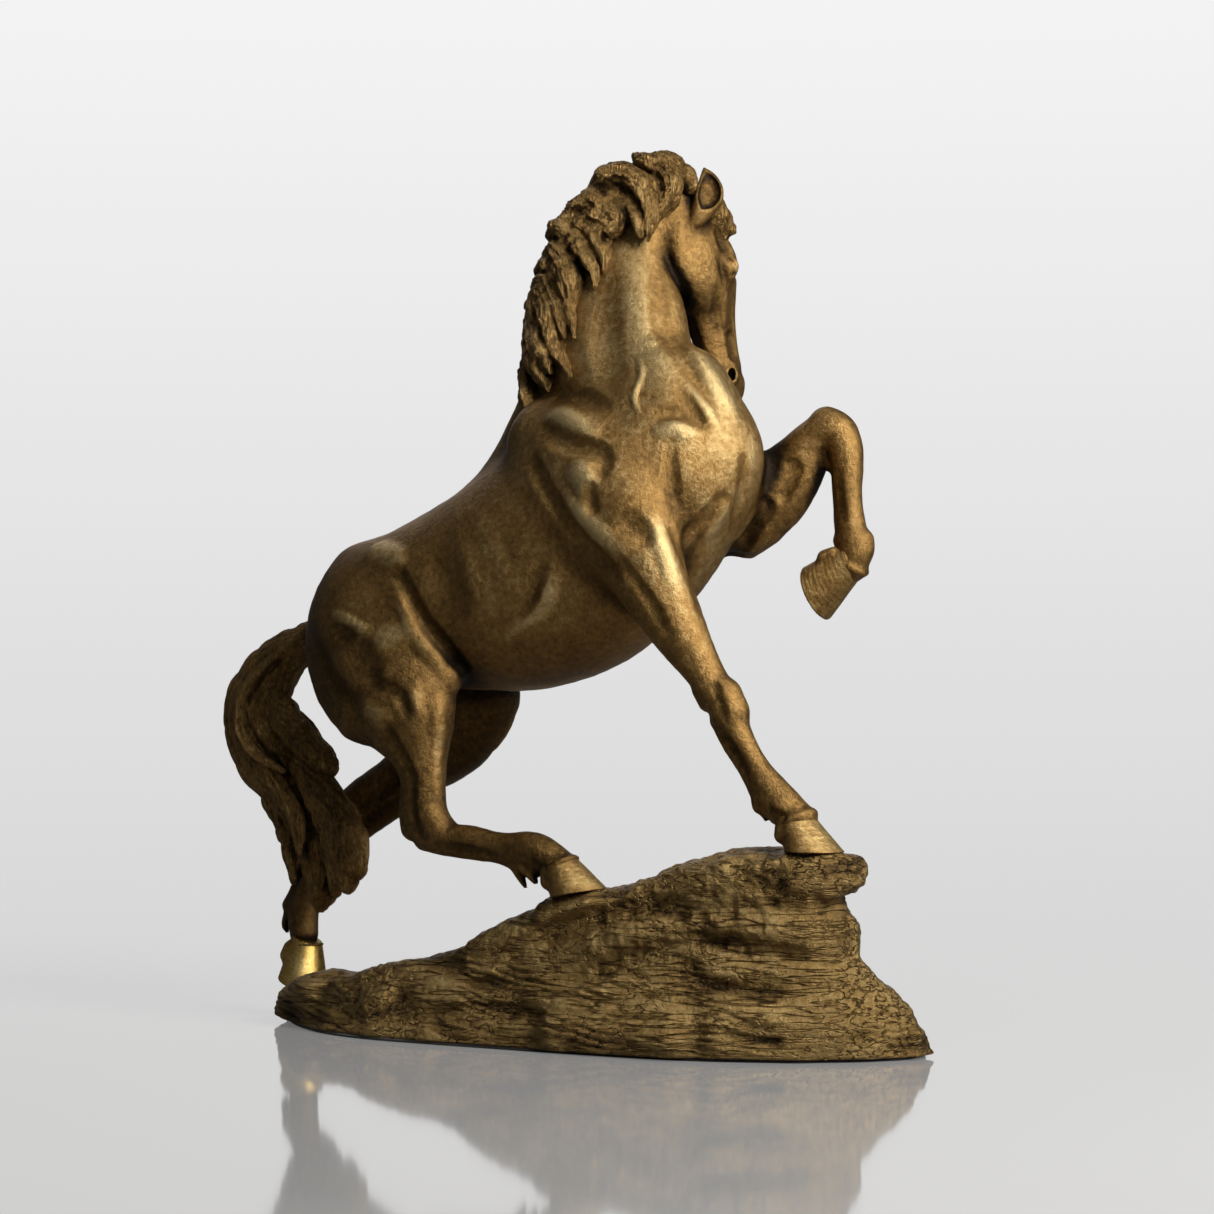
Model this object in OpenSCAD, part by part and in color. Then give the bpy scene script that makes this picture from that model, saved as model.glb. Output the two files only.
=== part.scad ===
// Cast bronze statuette of a horse on a sloping rock, one foreleg raised and the head turned
// to its left. The horse faces +X, +Y is its left side and +Z is up. The origin is the middle
// of the felt's underside. The casting is welded up from hollow and solid sections, and three
// studs with nuts hold it down on the hollow rock.

/* [Overall] */
// Overall height of the statuette, felt to mane
statue_height = 441; // [400:1:540]
// Wall of the hollow castings
wall = 4; // [3:0.5:5]
// Fullness of the barrel, chest and neck
fullness = 1; // [0.9:0.01:1.08]

/* [Rock] */
// Height of the ledge under the front hoof
ledge_height = 98; // [94:1:102]
// Thickness of the felt glued under the rock
felt_thickness = 1.5; // [1:0.5:3]

/* [Fixings] */
// Thread diameter of the hoof studs
stud_d = 4; // [3:0.5:5]
// Diameter of the clearance hole for each stud
stud_hole_d = 4.5; // [4.2:0.1:5.5]
// Depth of each stud inside its hoof
stud_grip = 8; // [6:1:10]
// Across-flats size of the nuts
nut_af = 7; // [5.5:0.5:8]
// Height of the nuts
nut_h = 3.2; // [2:0.2:4]
// Outside diameter of the washers
washer_d = 9; // [8:0.5:10]
// Thickness of the washers
washer_t = 0.8; // [0.5:0.1:1]

/* [Facets] */
// Points round each cast section
sides = 16; // [12:2:20]
// Rings between neighbouring stations
rings_per_span = 2; // [1:1:3]

/* [Hidden] */

design_height = 441;
k = statue_height / design_height;
neck_seam_z = 301;
across = [0, 1, 0];
head_right = [0.95, -0.33, 0];
right_ear_width = [0.84, 0.54, 0];
left_ear_width = [-0.33, 0.94, 0];

// Stations of the sections: centre x, y, z, then half width and half depth.
torso_stations = [
    [-153, 0, 201, 8, 7], [-147, 0, 200, 24, 18], [-133, 0, 203, 35, 30], [-110, 0, 212, 43, 39],
    [-82, 0, 217, 46, 43], [-52, 0, 223, 47, 50], [-24, 0, 230, 48, 57], [4, 0, 243, 46, 61],
    [30, 0, 262, 43, 58], [55, 0, 277, 38, 47], [77, 0, 286, 32, 34], [91, 0, 291, 20, 19],
    [97, 0, 293, 8, 7]];
neck_stations = [
    [45, 0, 276, 33, 50], [37, 0, 301, 32, 59], [29, 3, 322, 28, 48], [24, 6, 342, 24, 41],
    [22, 11, 364, 21, 37], [26, 18, 388, 18, 26], [35, 24, 406, 15, 19], [41, 27, 416, 11, 12]];
head_stations = [
    [41, 28, 420, 8, 8], [43, 31, 413, 13, 14], [45, 35, 400, 16, 19], [46, 39, 386, 17, 21],
    [48, 43, 372, 14, 18], [50, 48, 357, 10, 13], [51, 52, 345, 9, 11], [53, 56, 331, 9, 10],
    [54, 58, 323, 6, 7]];
ear_right_stations = [
    [57, 26, 404, 4, 3], [60, 27, 410, 6, 4], [62, 29, 418, 7, 4], [62, 29, 425, 5, 3],
    [60, 30, 430, 1.5, 1.2]];
ear_left_stations = [
    [30, 35, 404, 4, 3], [28, 38, 410, 6, 4], [27, 41, 418, 7, 4], [28, 41, 425, 5, 3],
    [29, 41, 430, 1.5, 1.2]];
foreleg_right_stations = [
    [14, -22, 298, 10, 16], [26, -27, 282, 15, 25], [42, -30, 263, 18, 29], [57, -33, 244, 17, 24],
    [68, -35, 227, 15, 19], [81, -35, 206, 13, 15], [95, -34, 185, 10, 10.5],
    [106, -32, 167, 9.5, 9], [115, -32, 153, 7, 6.5], [124, -31, 138, 6, 5.5],
    [133, -30, 122, 7.5, 8], [145, -30, 112, 7.5, 7.5]];
foreleg_left_stations = [
    [20, 22, 296, 10, 16], [40, 26, 284, 15, 25], [62, 30, 272, 17, 27], [80, 33, 267, 16, 24],
    [94, 35, 269, 14, 20], [106, 36, 280, 12.5, 16], [117, 37, 293, 11, 11.5],
    [128, 37, 299, 10, 10], [134, 37, 288, 8.5, 8.5], [137, 36, 267, 6, 7],
    [139, 36, 249, 8, 9], [140, 36, 237, 7, 7]];
hindleg_right_stations = [
    [-115, -20, 228, 9, 12], [-108, -25, 216, 18, 28], [-97, -30, 196, 20, 36],
    [-80, -33, 171, 18, 31], [-68, -34, 147, 13, 20], [-64, -35, 123, 9.5, 12.5],
    [-60, -37, 105, 9, 11], [-35, -38, 100, 7, 8.5], [-14, -38, 97, 6, 7.5], [4, -38, 95, 8, 9],
    [19, -38, 87, 7.5, 8]];
hindleg_left_stations = [
    [-98, 22, 208, 18, 32], [-90, 30, 184, 20, 35], [-92, 34, 160, 17, 27], [-108, 36, 142, 14, 20],
    [-132, 35, 127, 11, 14], [-156, 32, 113, 9.5, 13], [-173, 29, 98, 9, 11.5],
    [-182, 26, 77, 6.5, 8], [-186, 22, 56, 8, 9.5], [-181, 19, 39, 7.5, 8]];
tail_dock_stations = [
    [-148, 0, 204, 8, 7], [-164, 0, 200, 10, 10], [-178, 0, 194, 12, 12], [-192, 0, 181, 14, 16],
    [-199, 0, 163, 16, 19], [-195, 1, 147, 16, 20], [-187, 2, 134, 14, 18]];
tail_lock_inner_stations = [
    [-183, -3, 167, 8, 8], [-172, -5, 154, 8, 9], [-160, -6, 144, 8, 8], [-149, -7, 136, 6, 6],
    [-144, -7, 131, 2, 2]];
tail_lock_outer_stations = [
    [-168, -5, 139, 8, 9], [-152, -7, 123, 9, 11], [-139, -8, 107, 10, 11], [-131, -8, 91, 9, 10],
    [-129, -8, 76, 3, 3]];
tail_switch_stations = [
    [-190, 1, 141, 15, 17], [-179, 3, 123, 15, 18], [-168, 4, 104, 14, 16], [-161, 4, 87, 11, 13],
    [-159, 3, 71, 8, 9], [-159, 3, 61, 3, 3]];
forelock_stations = [
    [46, 34, 422, 8, 5], [54, 40, 417, 9, 6], [58, 46, 408, 8, 5], [57, 50, 397, 3, 3]];
mane_poll_stations = [
    [27, 17, 437, 4, 3], [34, 19, 434, 9, 6], [42, 20, 432, 10, 7], [49, 22, 428, 8, 6],
    [54, 25, 422, 4, 3]];
mane_upper_stations = [
    [-6, 7, 395, 9, 8], [2, 8, 405, 12, 11], [11, 10, 416, 13, 12], [22, 12, 425, 12, 9],
    [31, 13, 428, 6, 6]];
mane_middle_stations = [
    [-18, 0, 364, 8, 7], [-13, 1, 374, 12, 10], [-8, 2, 386, 13, 12], [-3, 4, 399, 10, 9],
    [1, 6, 407, 5, 5]];
mane_lower_stations = [
    [-25, 0, 312, 4, 4], [-20, -1, 324, 8, 6], [-15, -3, 340, 12, 9], [-13, -3, 357, 12, 10],
    [-14, -1, 370, 8, 8]];
// Hooves: centre of the sole, then the centre of the coronet above it.
front_right_hoof = [[154, -30, ledge_height], [145, -30, 113]];
hind_right_hoof = [[28, -37, 75], [18, -38, 89]];
hind_left_hoof = [[-181, 17, 19], [-180, 19, 41]];
front_left_hoof = [[119, 36, 221], [139, 36, 235.5]];
sole_r = 14;
coronet_r = 9;
flat_sole = [0, 0, 1];
sloped_sole = [-0.19, 0, 0.98];
tiptoe_sole = [0.37, 0, 0.93];
raised_sole = [0.93, 0, 0.36];

// Rock: x, foot centre y, foot half width, top centre y, top half width, height.
rock_sections = [
    [-191, 17, 3, 17, 2, 6], [-182, 14, 13, 15, 10, 11], [-166, 12, 28, 14, 20, 14],
    [-148, 8, 39, 8, 30, 19], [-120, 2, 50, 2, 40, 27], [-85, 0, 58, 0, 46, 36],
    [-45, 0, 60, 0, 46, 45], [-15, 0, 60, 0, 46, 60], [18, 0, 60, 0, 45, 72],
    [55, 0, 59, -2, 43, 79], [90, 1, 57, -4, 40, 88], [115, 3, 52, -6, 38, 94],
    [148, 7, 42, -16, 25, 88], [157, 9, 36, -20, 19, 82], [164, 11, 32, -14, 15, 52],
    [172, 12, 26, -2, 14, 35], [179, 14, 19, 8, 11, 23], [186, 16, 10, 14, 6, 13]];
// Up one side of a rock section: part of its height, and the share of the way
// from the foot's half width to the top's.
rock_profile = [[0, 0], [0.5, 0.8], [0.88, 1], [1, 1.25]];
// Overhanging ledge, seen from above: x, y.
ledge_outline = [[108, -42], [126, -46], [150, -46], [166, -42], [173, -31], [166, -17],
                 [150, 3], [132, 20], [110, 31]];
ledge_bottom = 76;
ledge_from = 110;
// Hollow under the rock, seen from the side: x, z.
hollow_outline = [[-125, -1], [-125, 11], [-50, 28], [-5, 50], [60, 64], [108, 70], [108, -1]];
hollow_half_w = 28;
// Chambers off the hollow, to reach the nuts: two opposite corners of each.
nut_chambers = [
    [[100, -33, 30], [146, 4, 70]], [[140, -33, 55], [157, -21, 70]],
    [[20, -43, 20], [36, -24, 52]]];

// Studs: where each rises through the rock, and how deep the boss under it reaches.
stud_places = [[151, -27, ledge_height], [28, -37, 75], [-172, 17, 15]];
boss_bottoms = [70, 52, 6];
boss_d = 15;

function along(a, b, t) = a + (b - a) * t;
function unit(v) = v / norm(v);
// Point on the smooth curve through a, b, c and d, between b and c.
function curve(a, b, c, d, t) =
    0.5 * (2 * b + (c - a) * t + (2 * a - 5 * b + 4 * c - d) * t * t
           + (3 * b - a - 3 * c + d) * t * t * t);
// The stations with rings_per_span of them along each span.
function smooth(s) = [
    for (i = [0:len(s) - 2], j = [0:rings_per_span - 1])
        curve(s[max(i - 1, 0)], s[i], s[i + 1], s[min(i + 2, len(s) - 1)], j / rings_per_span),
    s[len(s) - 1]];
function place(s) = [s.x, s.y, s.z];
function heading(s, i) = unit(place(s[min(i + 1, len(s) - 1)]) - place(s[max(i - 1, 0)]));
// One elliptical ring of points square to the path.
function ring(s, i, side) =
    let (t = heading(s, i), w = unit(side - (side * t) * t), u = cross(t, w))
    [for (a = [0:360 / sides:359]) place(s[i]) + s[i][3] * cos(a) * w - s[i][4] * sin(a) * u];
// The stations drawn in by a wall thickness, without the ones near the ends.
function inner(s, t, from, to) =
    [for (i = [from:len(s) - 1 - to]) let (p = s[i]) [p.x, p.y, p.z, p[3] - t, p[4] - t]];
// The stations with every half width times f.
function fuller(s) = [for (p = s) [p.x, p.y, p.z, p[3] * fullness, p[4]]];

// Closed skin through rings of equal point counts.
module skin(rings) {
    n = len(rings[0]);
    last = len(rings) - 1;
    faces = [
        for (i = [0:last - 1], j = [0:n - 1])
            let (a = i * n + j, b = i * n + (j + 1) % n)
            each [[a, b, b + n], [a, b + n, a + n]]];
    near_cap = [for (j = [n - 1:-1:0]) j];
    far_cap = [for (j = [0:n - 1]) last * n + j];
    scale(k) polyhedron([for (r = rings) each r], concat([near_cap, far_cap], faces));
}

// A rounded cast section through its stations.
module section(stations, side = across) {
    s = smooth(stations);
    skin([for (i = [0:len(s) - 1]) ring(s, i, side)]);
}

// Everything above the neck seam.
module above_seam() {
    translate([-200 * k, -100 * k, neck_seam_z * k]) cube([400 * k, 200 * k, 200 * k]);
}

module barrel() {
    section(fuller(torso_stations));
}

// Hoof: wide at the sole, drawn in to the coronet.
module hoof_block(ends, sole_normal) {
    forward = unit([1, 0, 0] - sole_normal.x * sole_normal);
    sideways = cross(sole_normal, forward);
    skin([
        for (t = [0, 0.15, 1])
            let (c = along(ends[0], ends[1], t), r = along(sole_r, coronet_r, t) - (t == 0 ? 1 : 0))
            [for (a = [0:360 / sides:359])
                c + r * cos(a) * forward - 0.92 * r * sin(a) * sideways]]);
}

// One side of a rock section: points from the foot up, s being +1 or -1.
function rock_side(r, s) = [
    for (p = rock_profile)
        [r[0], along(r[1] + s * r[2], r[3] + s * r[4], p[1]), felt_thickness / k + r[5] * p[0]]];
function flip(list) = [for (i = [len(list) - 1:-1:0]) list[i]];

module rock_body() {
    skin([for (r = rock_sections) concat(rock_side(r, -1), flip(rock_side(r, 1)))]);
}

// Everything under the rock's top line, to cut the soles flush with it.
module below_rock_top() {
    top = [for (r = rock_sections)
        [r[0], r[0] > ledge_from ? ledge_height : felt_thickness / k + r[5]]];
    scale(k) translate([0, 70, 0]) rotate([90, 0, 0]) linear_extrude(140)
        polygon(concat([[-200, -9], [-200, 6]], top, [[200, ledge_height], [200, -9]]));
}

// The hollow and its chambers, which the nuts are reached through.
module rock_hollow() {
    scale(k) translate([0, hollow_half_w, 0]) rotate([90, 0, 0])
        linear_extrude(2 * hollow_half_w) polygon(hollow_outline);
    for (c = nut_chambers) scale(k) translate(c[0]) cube(c[1] - c[0]);
}

module ledge() {
    translate([0, 0, k * ledge_bottom]) linear_extrude(k * (ledge_height - ledge_bottom))
        scale(k) polygon(ledge_outline);
}

// Under each hoof: a boss that takes the washer.
module bosses() {
    for (i = [0:1]) translate([k * stud_places[i].x, k * stud_places[i].y, k * boss_bottoms[i]])
        cylinder(d = boss_d, h = k * (stud_places[i].z - boss_bottoms[i]) - 3, $fn = 32);
}

module rock_base() color("#6b5426") difference() {
    union() {
        difference() {
            rock_body();
            rock_hollow();
        }
        ledge();
        bosses();
    }
    for (p = stud_places) translate([k * p.x, k * p.y, -1])
        cylinder(d = stud_hole_d, h = k * p.z + 5, $fn = 32);
    // Pocket for the rearmost nut, where the rock is too thin for a boss.
    translate([k * stud_places[2].x, k * stud_places[2].y, -1])
        cylinder(d = washer_d + 1, h = 1 + k * boss_bottoms[2], $fn = 32);
}

module base_felt() color("#1d1c1a") linear_extrude(felt_thickness) scale(0.985 * k)
    polygon(concat([for (r = rock_sections) [r[0], r[1] - r[2]]],
                   flip([for (r = rock_sections) [r[0], r[1] + r[2]]])));

module torso() color("#8a6a2c") difference() {
    barrel();
    section(inner(fuller(torso_stations), wall / k, 2, 2));
    above_seam();
}

// The neck's outside, from its weld to the torso up.
module neck_shape() {
    intersection() {
        section(fuller(neck_stations));
        above_seam();
    }
}

module neck() color("#92702f") difference() {
    neck_shape();
    section(inner(fuller(neck_stations), wall / k, 0, 2));
}

module head() color("#8a6a2c") difference() {
    section(head_stations, head_right);
    section(fuller(neck_stations));
}

module leg(stations) color("#92702f") difference() {
    section(stations);
    barrel();
    neck_shape();
}

module foreleg_right() leg(foreleg_right_stations);
module foreleg_left() leg(foreleg_left_stations);
module hindleg_right() leg(hindleg_right_stations);
module hindleg_left() leg(hindleg_left_stations);
module tail_dock() leg(tail_dock_stations);

module hoof(ends, sole_normal, leg_stations, tint) color(tint) difference() {
    hoof_block(ends, sole_normal);
    section(leg_stations);
    if (sole_normal != raised_sole) {
        below_rock_top();
        stud_rods();
    }
}

module hoof_front_right() hoof(front_right_hoof, flat_sole, foreleg_right_stations, "#92702f");
module hoof_front_left() hoof(front_left_hoof, raised_sole, foreleg_left_stations, "#92702f");
module hoof_hind_right() hoof(hind_right_hoof, sloped_sole, hindleg_right_stations, "#92702f");
module hoof_hind_left() hoof(hind_left_hoof, tiptoe_sole, hindleg_left_stations, "#c9a23a");

module ear(stations, side) color("#8a6a2c") difference() {
    section(stations, side);
    section(head_stations, head_right);
    section(fuller(neck_stations));
}
module ear_right() ear(ear_right_stations, right_ear_width);
module ear_left() ear(ear_left_stations, left_ear_width);

module lock(stations, neighbour, side = across) color("#6b5426") difference() {
    section(stations);
    section(neighbour, side);
}

module forelock() difference() {
    lock(forelock_stations, head_stations, head_right);
    section(mane_poll_stations);
    section(ear_right_stations, right_ear_width);
}
module mane_lower() lock(mane_lower_stations, fuller(neck_stations));
module mane_middle() difference() {
    lock(mane_middle_stations, fuller(neck_stations));
    section(mane_lower_stations);
}
module mane_upper() difference() {
    lock(mane_upper_stations, fuller(neck_stations));
    section(mane_middle_stations);
}
module mane_poll() difference() {
    lock(mane_poll_stations, fuller(neck_stations));
    section(mane_upper_stations);
    section(head_stations, head_right);
    section(ear_right_stations, right_ear_width);
    section(ear_left_stations, left_ear_width);
}
module tail_switch() lock(tail_switch_stations, tail_dock_stations);
module tail_lock_inner() difference() {
    lock(tail_lock_inner_stations, tail_dock_stations);
    section(tail_switch_stations);
}
module tail_lock_outer() difference() {
    lock(tail_lock_outer_stations, tail_switch_stations);
    section(tail_dock_stations);
    section(tail_lock_inner_stations);
}

// Where the thread of stud i ends under its nut.
function stud_foot(i) =
    [k * stud_places[i].x, k * stud_places[i].y, k * boss_bottoms[i] - washer_t - nut_h];

// The studs' rods, from below their nuts up into the hooves.
module stud_rods() {
    for (i = [0:2])
        translate(stud_foot(i))
            cylinder(d = stud_d, h = k * stud_places[i].z + stud_grip - stud_foot(i).z, $fn = 32);
}

module hoof_studs() color("#b9b9b4") stud_rods();

module stud_washers() color("#c4c4bf")
    for (i = [0:2]) translate(stud_foot(i) + [0, 0, nut_h]) difference() {
        cylinder(d = washer_d, h = washer_t, $fn = 32);
        translate([0, 0, -1]) cylinder(d = stud_hole_d, h = washer_t + 2, $fn = 32);
    }

module stud_nuts() color("#c4c4bf")
    for (i = [0:2]) translate(stud_foot(i)) difference() {
        cylinder(d = nut_af / cos(30), h = nut_h, $fn = 6);
        translate([0, 0, -1]) cylinder(d = stud_d, h = nut_h + 2, $fn = 32);
    }

rock_base();
base_felt();
torso();
neck();
head();
foreleg_right();
foreleg_left();
hindleg_right();
hindleg_left();
hoof_front_right();
hoof_front_left();
hoof_hind_right();
hoof_hind_left();
tail_dock();
ear_right();
ear_left();
forelock();
mane_poll();
mane_upper();
mane_middle();
mane_lower();
tail_lock_inner();
tail_lock_outer();
tail_switch();
hoof_studs();
stud_washers();
stud_nuts();
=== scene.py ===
import math
from itertools import product

import bpy
import numpy as np
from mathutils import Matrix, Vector


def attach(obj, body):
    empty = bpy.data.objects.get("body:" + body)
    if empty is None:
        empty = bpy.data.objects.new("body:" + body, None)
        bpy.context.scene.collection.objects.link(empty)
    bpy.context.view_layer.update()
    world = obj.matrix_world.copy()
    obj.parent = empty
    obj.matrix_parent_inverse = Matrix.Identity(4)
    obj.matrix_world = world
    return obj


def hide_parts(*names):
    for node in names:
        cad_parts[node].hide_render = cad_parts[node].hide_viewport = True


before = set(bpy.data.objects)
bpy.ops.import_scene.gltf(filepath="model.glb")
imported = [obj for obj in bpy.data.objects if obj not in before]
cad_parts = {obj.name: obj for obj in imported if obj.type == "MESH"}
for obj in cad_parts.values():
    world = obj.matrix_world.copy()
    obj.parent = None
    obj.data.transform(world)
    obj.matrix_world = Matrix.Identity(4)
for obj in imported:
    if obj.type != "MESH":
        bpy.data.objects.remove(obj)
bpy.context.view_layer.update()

# Looks of the cast bronze horse on its rock. The forms are sculpted as blocks of clay, signed
# distance fields in numpy, in millimetres in the row frame: +X the way the horse faces, +Y its
# left, +Z up. Each block's surface becomes a closed mesh, in metres.
MM = 0.001
BODY_STEP = 1.1
HEAD_STEP = 0.6
HAIR_STEP = 0.7
HOOF_STEP = 0.5
ROCK_STEP = 1.05


# ---------------------------------------------------------------- clay: a signed distance block
# Distance written where no form is near, room a blend needs past its stroke, thinnest stroke,
# and spans drawn between two stations.
OUTSIDE = 50.0
BLEND_ROOM = 5
THINNEST = 0.3
PER_SPAN = 4


def unit(v):
    v = np.asarray(v, float)
    return v / np.linalg.norm(v)


def curve(points, per_span):
    """Rows along the smooth curve through the points; extra columns, such as radii, run with it."""
    p = np.asarray(points, float)
    if len(p) == 1:
        p = np.vstack([p, p + 1e-3])
    q = np.vstack([2 * p[0] - p[1], p, 2 * p[-1] - p[-2]])
    rows = []
    for a, b, c, d in zip(q, q[1:], q[2:], q[3:]):
        for t in np.arange(per_span) / per_span:
            rows.append(0.5 * (2 * b + (c - a) * t + (2 * a - 5 * b + 4 * c - d) * t ** 2
                               + (3 * b - a - 3 * c + d) * t ** 3))
    rows.append(p[-1])
    return np.array(rows)


def within(part, win):
    """Where a part of the block lies in a larger window of it."""
    return tuple(slice(p.start - w.start, p.stop - w.start) for p, w in zip(part, win))


def ridges(comb, along, angle, narrow):
    """Height of a comb's ridges, at a share along the stroke and an angle round it."""
    count, height, twist, phase = comb
    angle = angle + twist * along + 0.30 * np.sin(6 * along + phase)
    finer = 1.6 * count // 1
    return height * np.minimum(1, 0.25 * narrow) * (
        0.6 * np.cos(count * angle + phase) + 0.4 * np.cos(finer * angle + 2.3 * phase))


class Clay:
    """A block of clay: negative inside, positive outside, about one unit per millimetre."""

    def __init__(self, low, high, step):
        self.low = np.array(low, float)
        self.step = float(step)
        count = np.ceil((np.array(high, float) - self.low) / step).astype(int) + 1
        self.field = np.full(count, OUTSIDE, np.float32)

    def window(self, low, high):
        first = np.floor((np.asarray(low) - self.low) / self.step).astype(int)
        last = np.ceil((np.asarray(high) - self.low) / self.step).astype(int) + 1
        size = np.array(self.field.shape)
        first = np.clip(first, 0, size - 1)
        return tuple(slice(a, b) for a, b in zip(first, np.clip(last, first + 1, size)))

    def around(self, points, room):
        """The window that holds the points with room on every side."""
        return self.window(points.min(0) - room, points.max(0) + room)

    def whole(self):
        return tuple(slice(0, n) for n in self.field.shape)

    def coordinates(self, win):
        out = []
        for axis, part in enumerate(win):
            line = self.low[axis] + self.step * np.arange(part.start, part.stop)
            shape = [1, 1, 1]
            shape[axis] = -1
            out.append(line.reshape(shape).astype(np.float32))
        return out

    def offsets(self, win, origin):
        """Coordinates of a window's cells, counted from the origin."""
        return [line - middle for line, middle in zip(self.coordinates(win), origin)]

    def distance(self, stations, side, reach, per_span, comb=None, cap=1.0):
        """Distance to a stroke whose stations are x, y, z, half width, half depth. A comb, given as
        number of ridges, their height, twist and phase, draws ridges along it. The cap is the
        roundness of the ends of its spans."""
        rows = np.asarray(stations, float)
        if rows.shape[1] == 4:
            rows = np.hstack([rows, rows[:, 3:]])
        rows = curve(rows, per_span)
        rows[:, 3:] = np.maximum(rows[:, 3:], THINNEST)
        win = self.around(rows[:, :3], rows[:, 3:].max() + reach)
        out = np.full([w.stop - w.start for w in win], OUTSIDE, np.float32)
        last = len(rows) - 2
        for i, (a, b) in enumerate(zip(rows, rows[1:])):
            span = b[:3] - a[:3]
            length = np.linalg.norm(span)
            if length < 1e-6:
                continue
            ahead = span / length
            wide = unit(np.asarray(side, float) - np.dot(side, ahead) * ahead)
            deep = np.cross(ahead, wide)
            part = self.around(np.stack([a, b])[:, :3], max(a[3:].max(), b[3:].max()) + reach)
            x, y, z = self.offsets(part, a)
            run = x * ahead[0] + y * ahead[1] + z * ahead[2]
            t = np.clip(run / length, 0, 1)
            half_w = a[3] + (b[3] - a[3]) * t
            half_d = a[4] + (b[4] - a[4]) * t
            u = (x * wide[0] + y * wide[1] + z * wide[2]) / half_w
            v = (x * deep[0] + y * deep[1] + z * deep[2]) / half_d
            end = run - t * length
            narrow, broad = np.minimum(half_w, half_d), np.maximum(half_w, half_d)
            tip = (end < 0) if i == 0 else (end > 0) if i == last else False
            end_r = np.where(tip, narrow, cap * broad)
            k0 = np.sqrt(u * u + v * v + (end / end_r) ** 2) + 1e-6
            k1 = np.sqrt((u / half_w) ** 2 + (v / half_d) ** 2 + (end / end_r ** 2) ** 2) + 1e-6
            near = k0 * (k0 - 1) / k1
            if comb:
                near += ridges(comb, (i + t) / (len(rows) - 1), np.arctan2(v, u), narrow)
            here = within(part, win)
            np.minimum(out[here], near, out=out[here])
        return win, out

    def add(self, stations, blend=4.0, side=(0, 1, 0), per_span=PER_SPAN, comb=None, cap=1.0):
        win, new = self.distance(stations, side, blend + BLEND_ROOM, per_span, comb, cap)
        old = self.field[win]
        h = np.clip(0.5 + 0.5 * (old - new) / blend, 0, 1)
        self.field[win] = old * (1 - h) + new * h - blend * h * (1 - h)

    def cut(self, stations, blend=2.0, side=(0, 1, 0)):
        win, new = self.distance(stations, side, blend + BLEND_ROOM, PER_SPAN)
        old = self.field[win]
        h = np.clip(0.5 - 0.5 * (old + new) / blend, 0, 1)
        self.field[win] = old * (1 - h) - new * h + blend * h * (1 - h)

    def holds(self, points):
        """Whether the whole path lies in the block."""
        last = self.low + self.step * (np.array(self.field.shape) - 1)
        return bool((points > self.low).all() and (points < last).all())

    def settle(self, passes):
        """Average each cell with its neighbours, to take the ribs out of joined strokes."""
        for _ in range(passes):
            for axis in range(3):
                f = np.moveaxis(self.field, axis, 0)
                inner = 0.25 * (f[:-2] + 2 * f[1:-1] + f[2:])
                f[1:-1] = inner

    def sample(self, points):
        at = (np.atleast_2d(points) - self.low) / self.step
        at = np.clip(at, 0, np.array(self.field.shape) - 1.001)
        i = at.astype(int)
        t = at - i
        total = 0
        for dx, dy, dz in product((0, 1), repeat=3):
            share = (np.abs(1 - dx - t[:, 0]) * np.abs(1 - dy - t[:, 1])
                     * np.abs(1 - dz - t[:, 2]))
            total = total + share * self.field[i[:, 0] + dx, i[:, 1] + dy, i[:, 2] + dz]
        return total

    def slope(self, points, reach):
        points = np.atleast_2d(points)
        out = np.zeros(points.shape)
        for axis in range(3):
            shift = np.zeros(3)
            shift[axis] = reach
            out[:, axis] = (self.sample(points + shift) - self.sample(points - shift)) / (2 * reach)
        return out

    def pull(self, points, rounds, reach, longest, flattest):
        """The points moved down the slope onto the surface, by moves up to the longest; a slope
        whose square is under the flattest counts as that."""
        points = np.array(points, float)
        for _ in range(rounds):
            g = self.slope(points, reach)
            size = np.maximum((g * g).sum(1), flattest)
            move = np.clip(self.sample(points), -longest, longest) / size
            points -= move[:, None] * g
        return points

    def brush(self, points, radius, amount):
        """Raise (amount > 0) or press in (amount < 0) a soft ridge along points on the surface."""
        p = np.asarray(points, float)
        radii = np.broadcast_to(radius, len(p))
        taper = np.ones(len(p)) if len(p) < 3 else np.r_[0.35, np.ones(len(p) - 2), 0.35]
        rows = curve(np.column_stack([p[:, :3], radii, taper * amount]), 5)
        if not self.holds(rows[:, :3]):
            return
        rows[:, :3] = self.pull(rows[:, :3], rounds=8, reach=2.0, longest=5, flattest=0.3)
        win = self.around(rows[:, :3], rows[:, 3].max())
        out = np.zeros([w.stop - w.start for w in win], np.float32)
        further = np.maximum if amount > 0 else np.minimum
        for a, b in zip(rows, rows[1:]):
            span = b[:3] - a[:3]
            part = self.around(np.stack([a, b])[:, :3], max(a[3], b[3]))
            x, y, z = self.offsets(part, a)
            t = np.clip((x * span[0] + y * span[1] + z * span[2]) / max(span @ span, 1e-9), 0, 1)
            d2 = (x - t * span[0]) ** 2 + (y - t * span[1]) ** 2 + (z - t * span[2]) ** 2
            r = a[3] + (b[3] - a[3]) * t
            lift = (a[4] + (b[4] - a[4]) * t) * np.clip(1 - d2 / r ** 2, 0, 1) ** 2
            here = within(part, win)
            further(out[here], lift, out=out[here])
        self.field[win] -= out


def lattice(i, j, k, seed):
    """A fixed random value from 0 to 1 for each whole-number point."""
    h = (i * 73856093) ^ (j * 19349663) ^ (k * 83492791) ^ (seed * 2654435761)
    h &= 0xFFFFFFFF
    h = ((h ^ (h >> 13)) * 1274126177) & 0xFFFFFFFF
    return ((h ^ (h >> 16)) & 0xFFFF) / 65535


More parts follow.
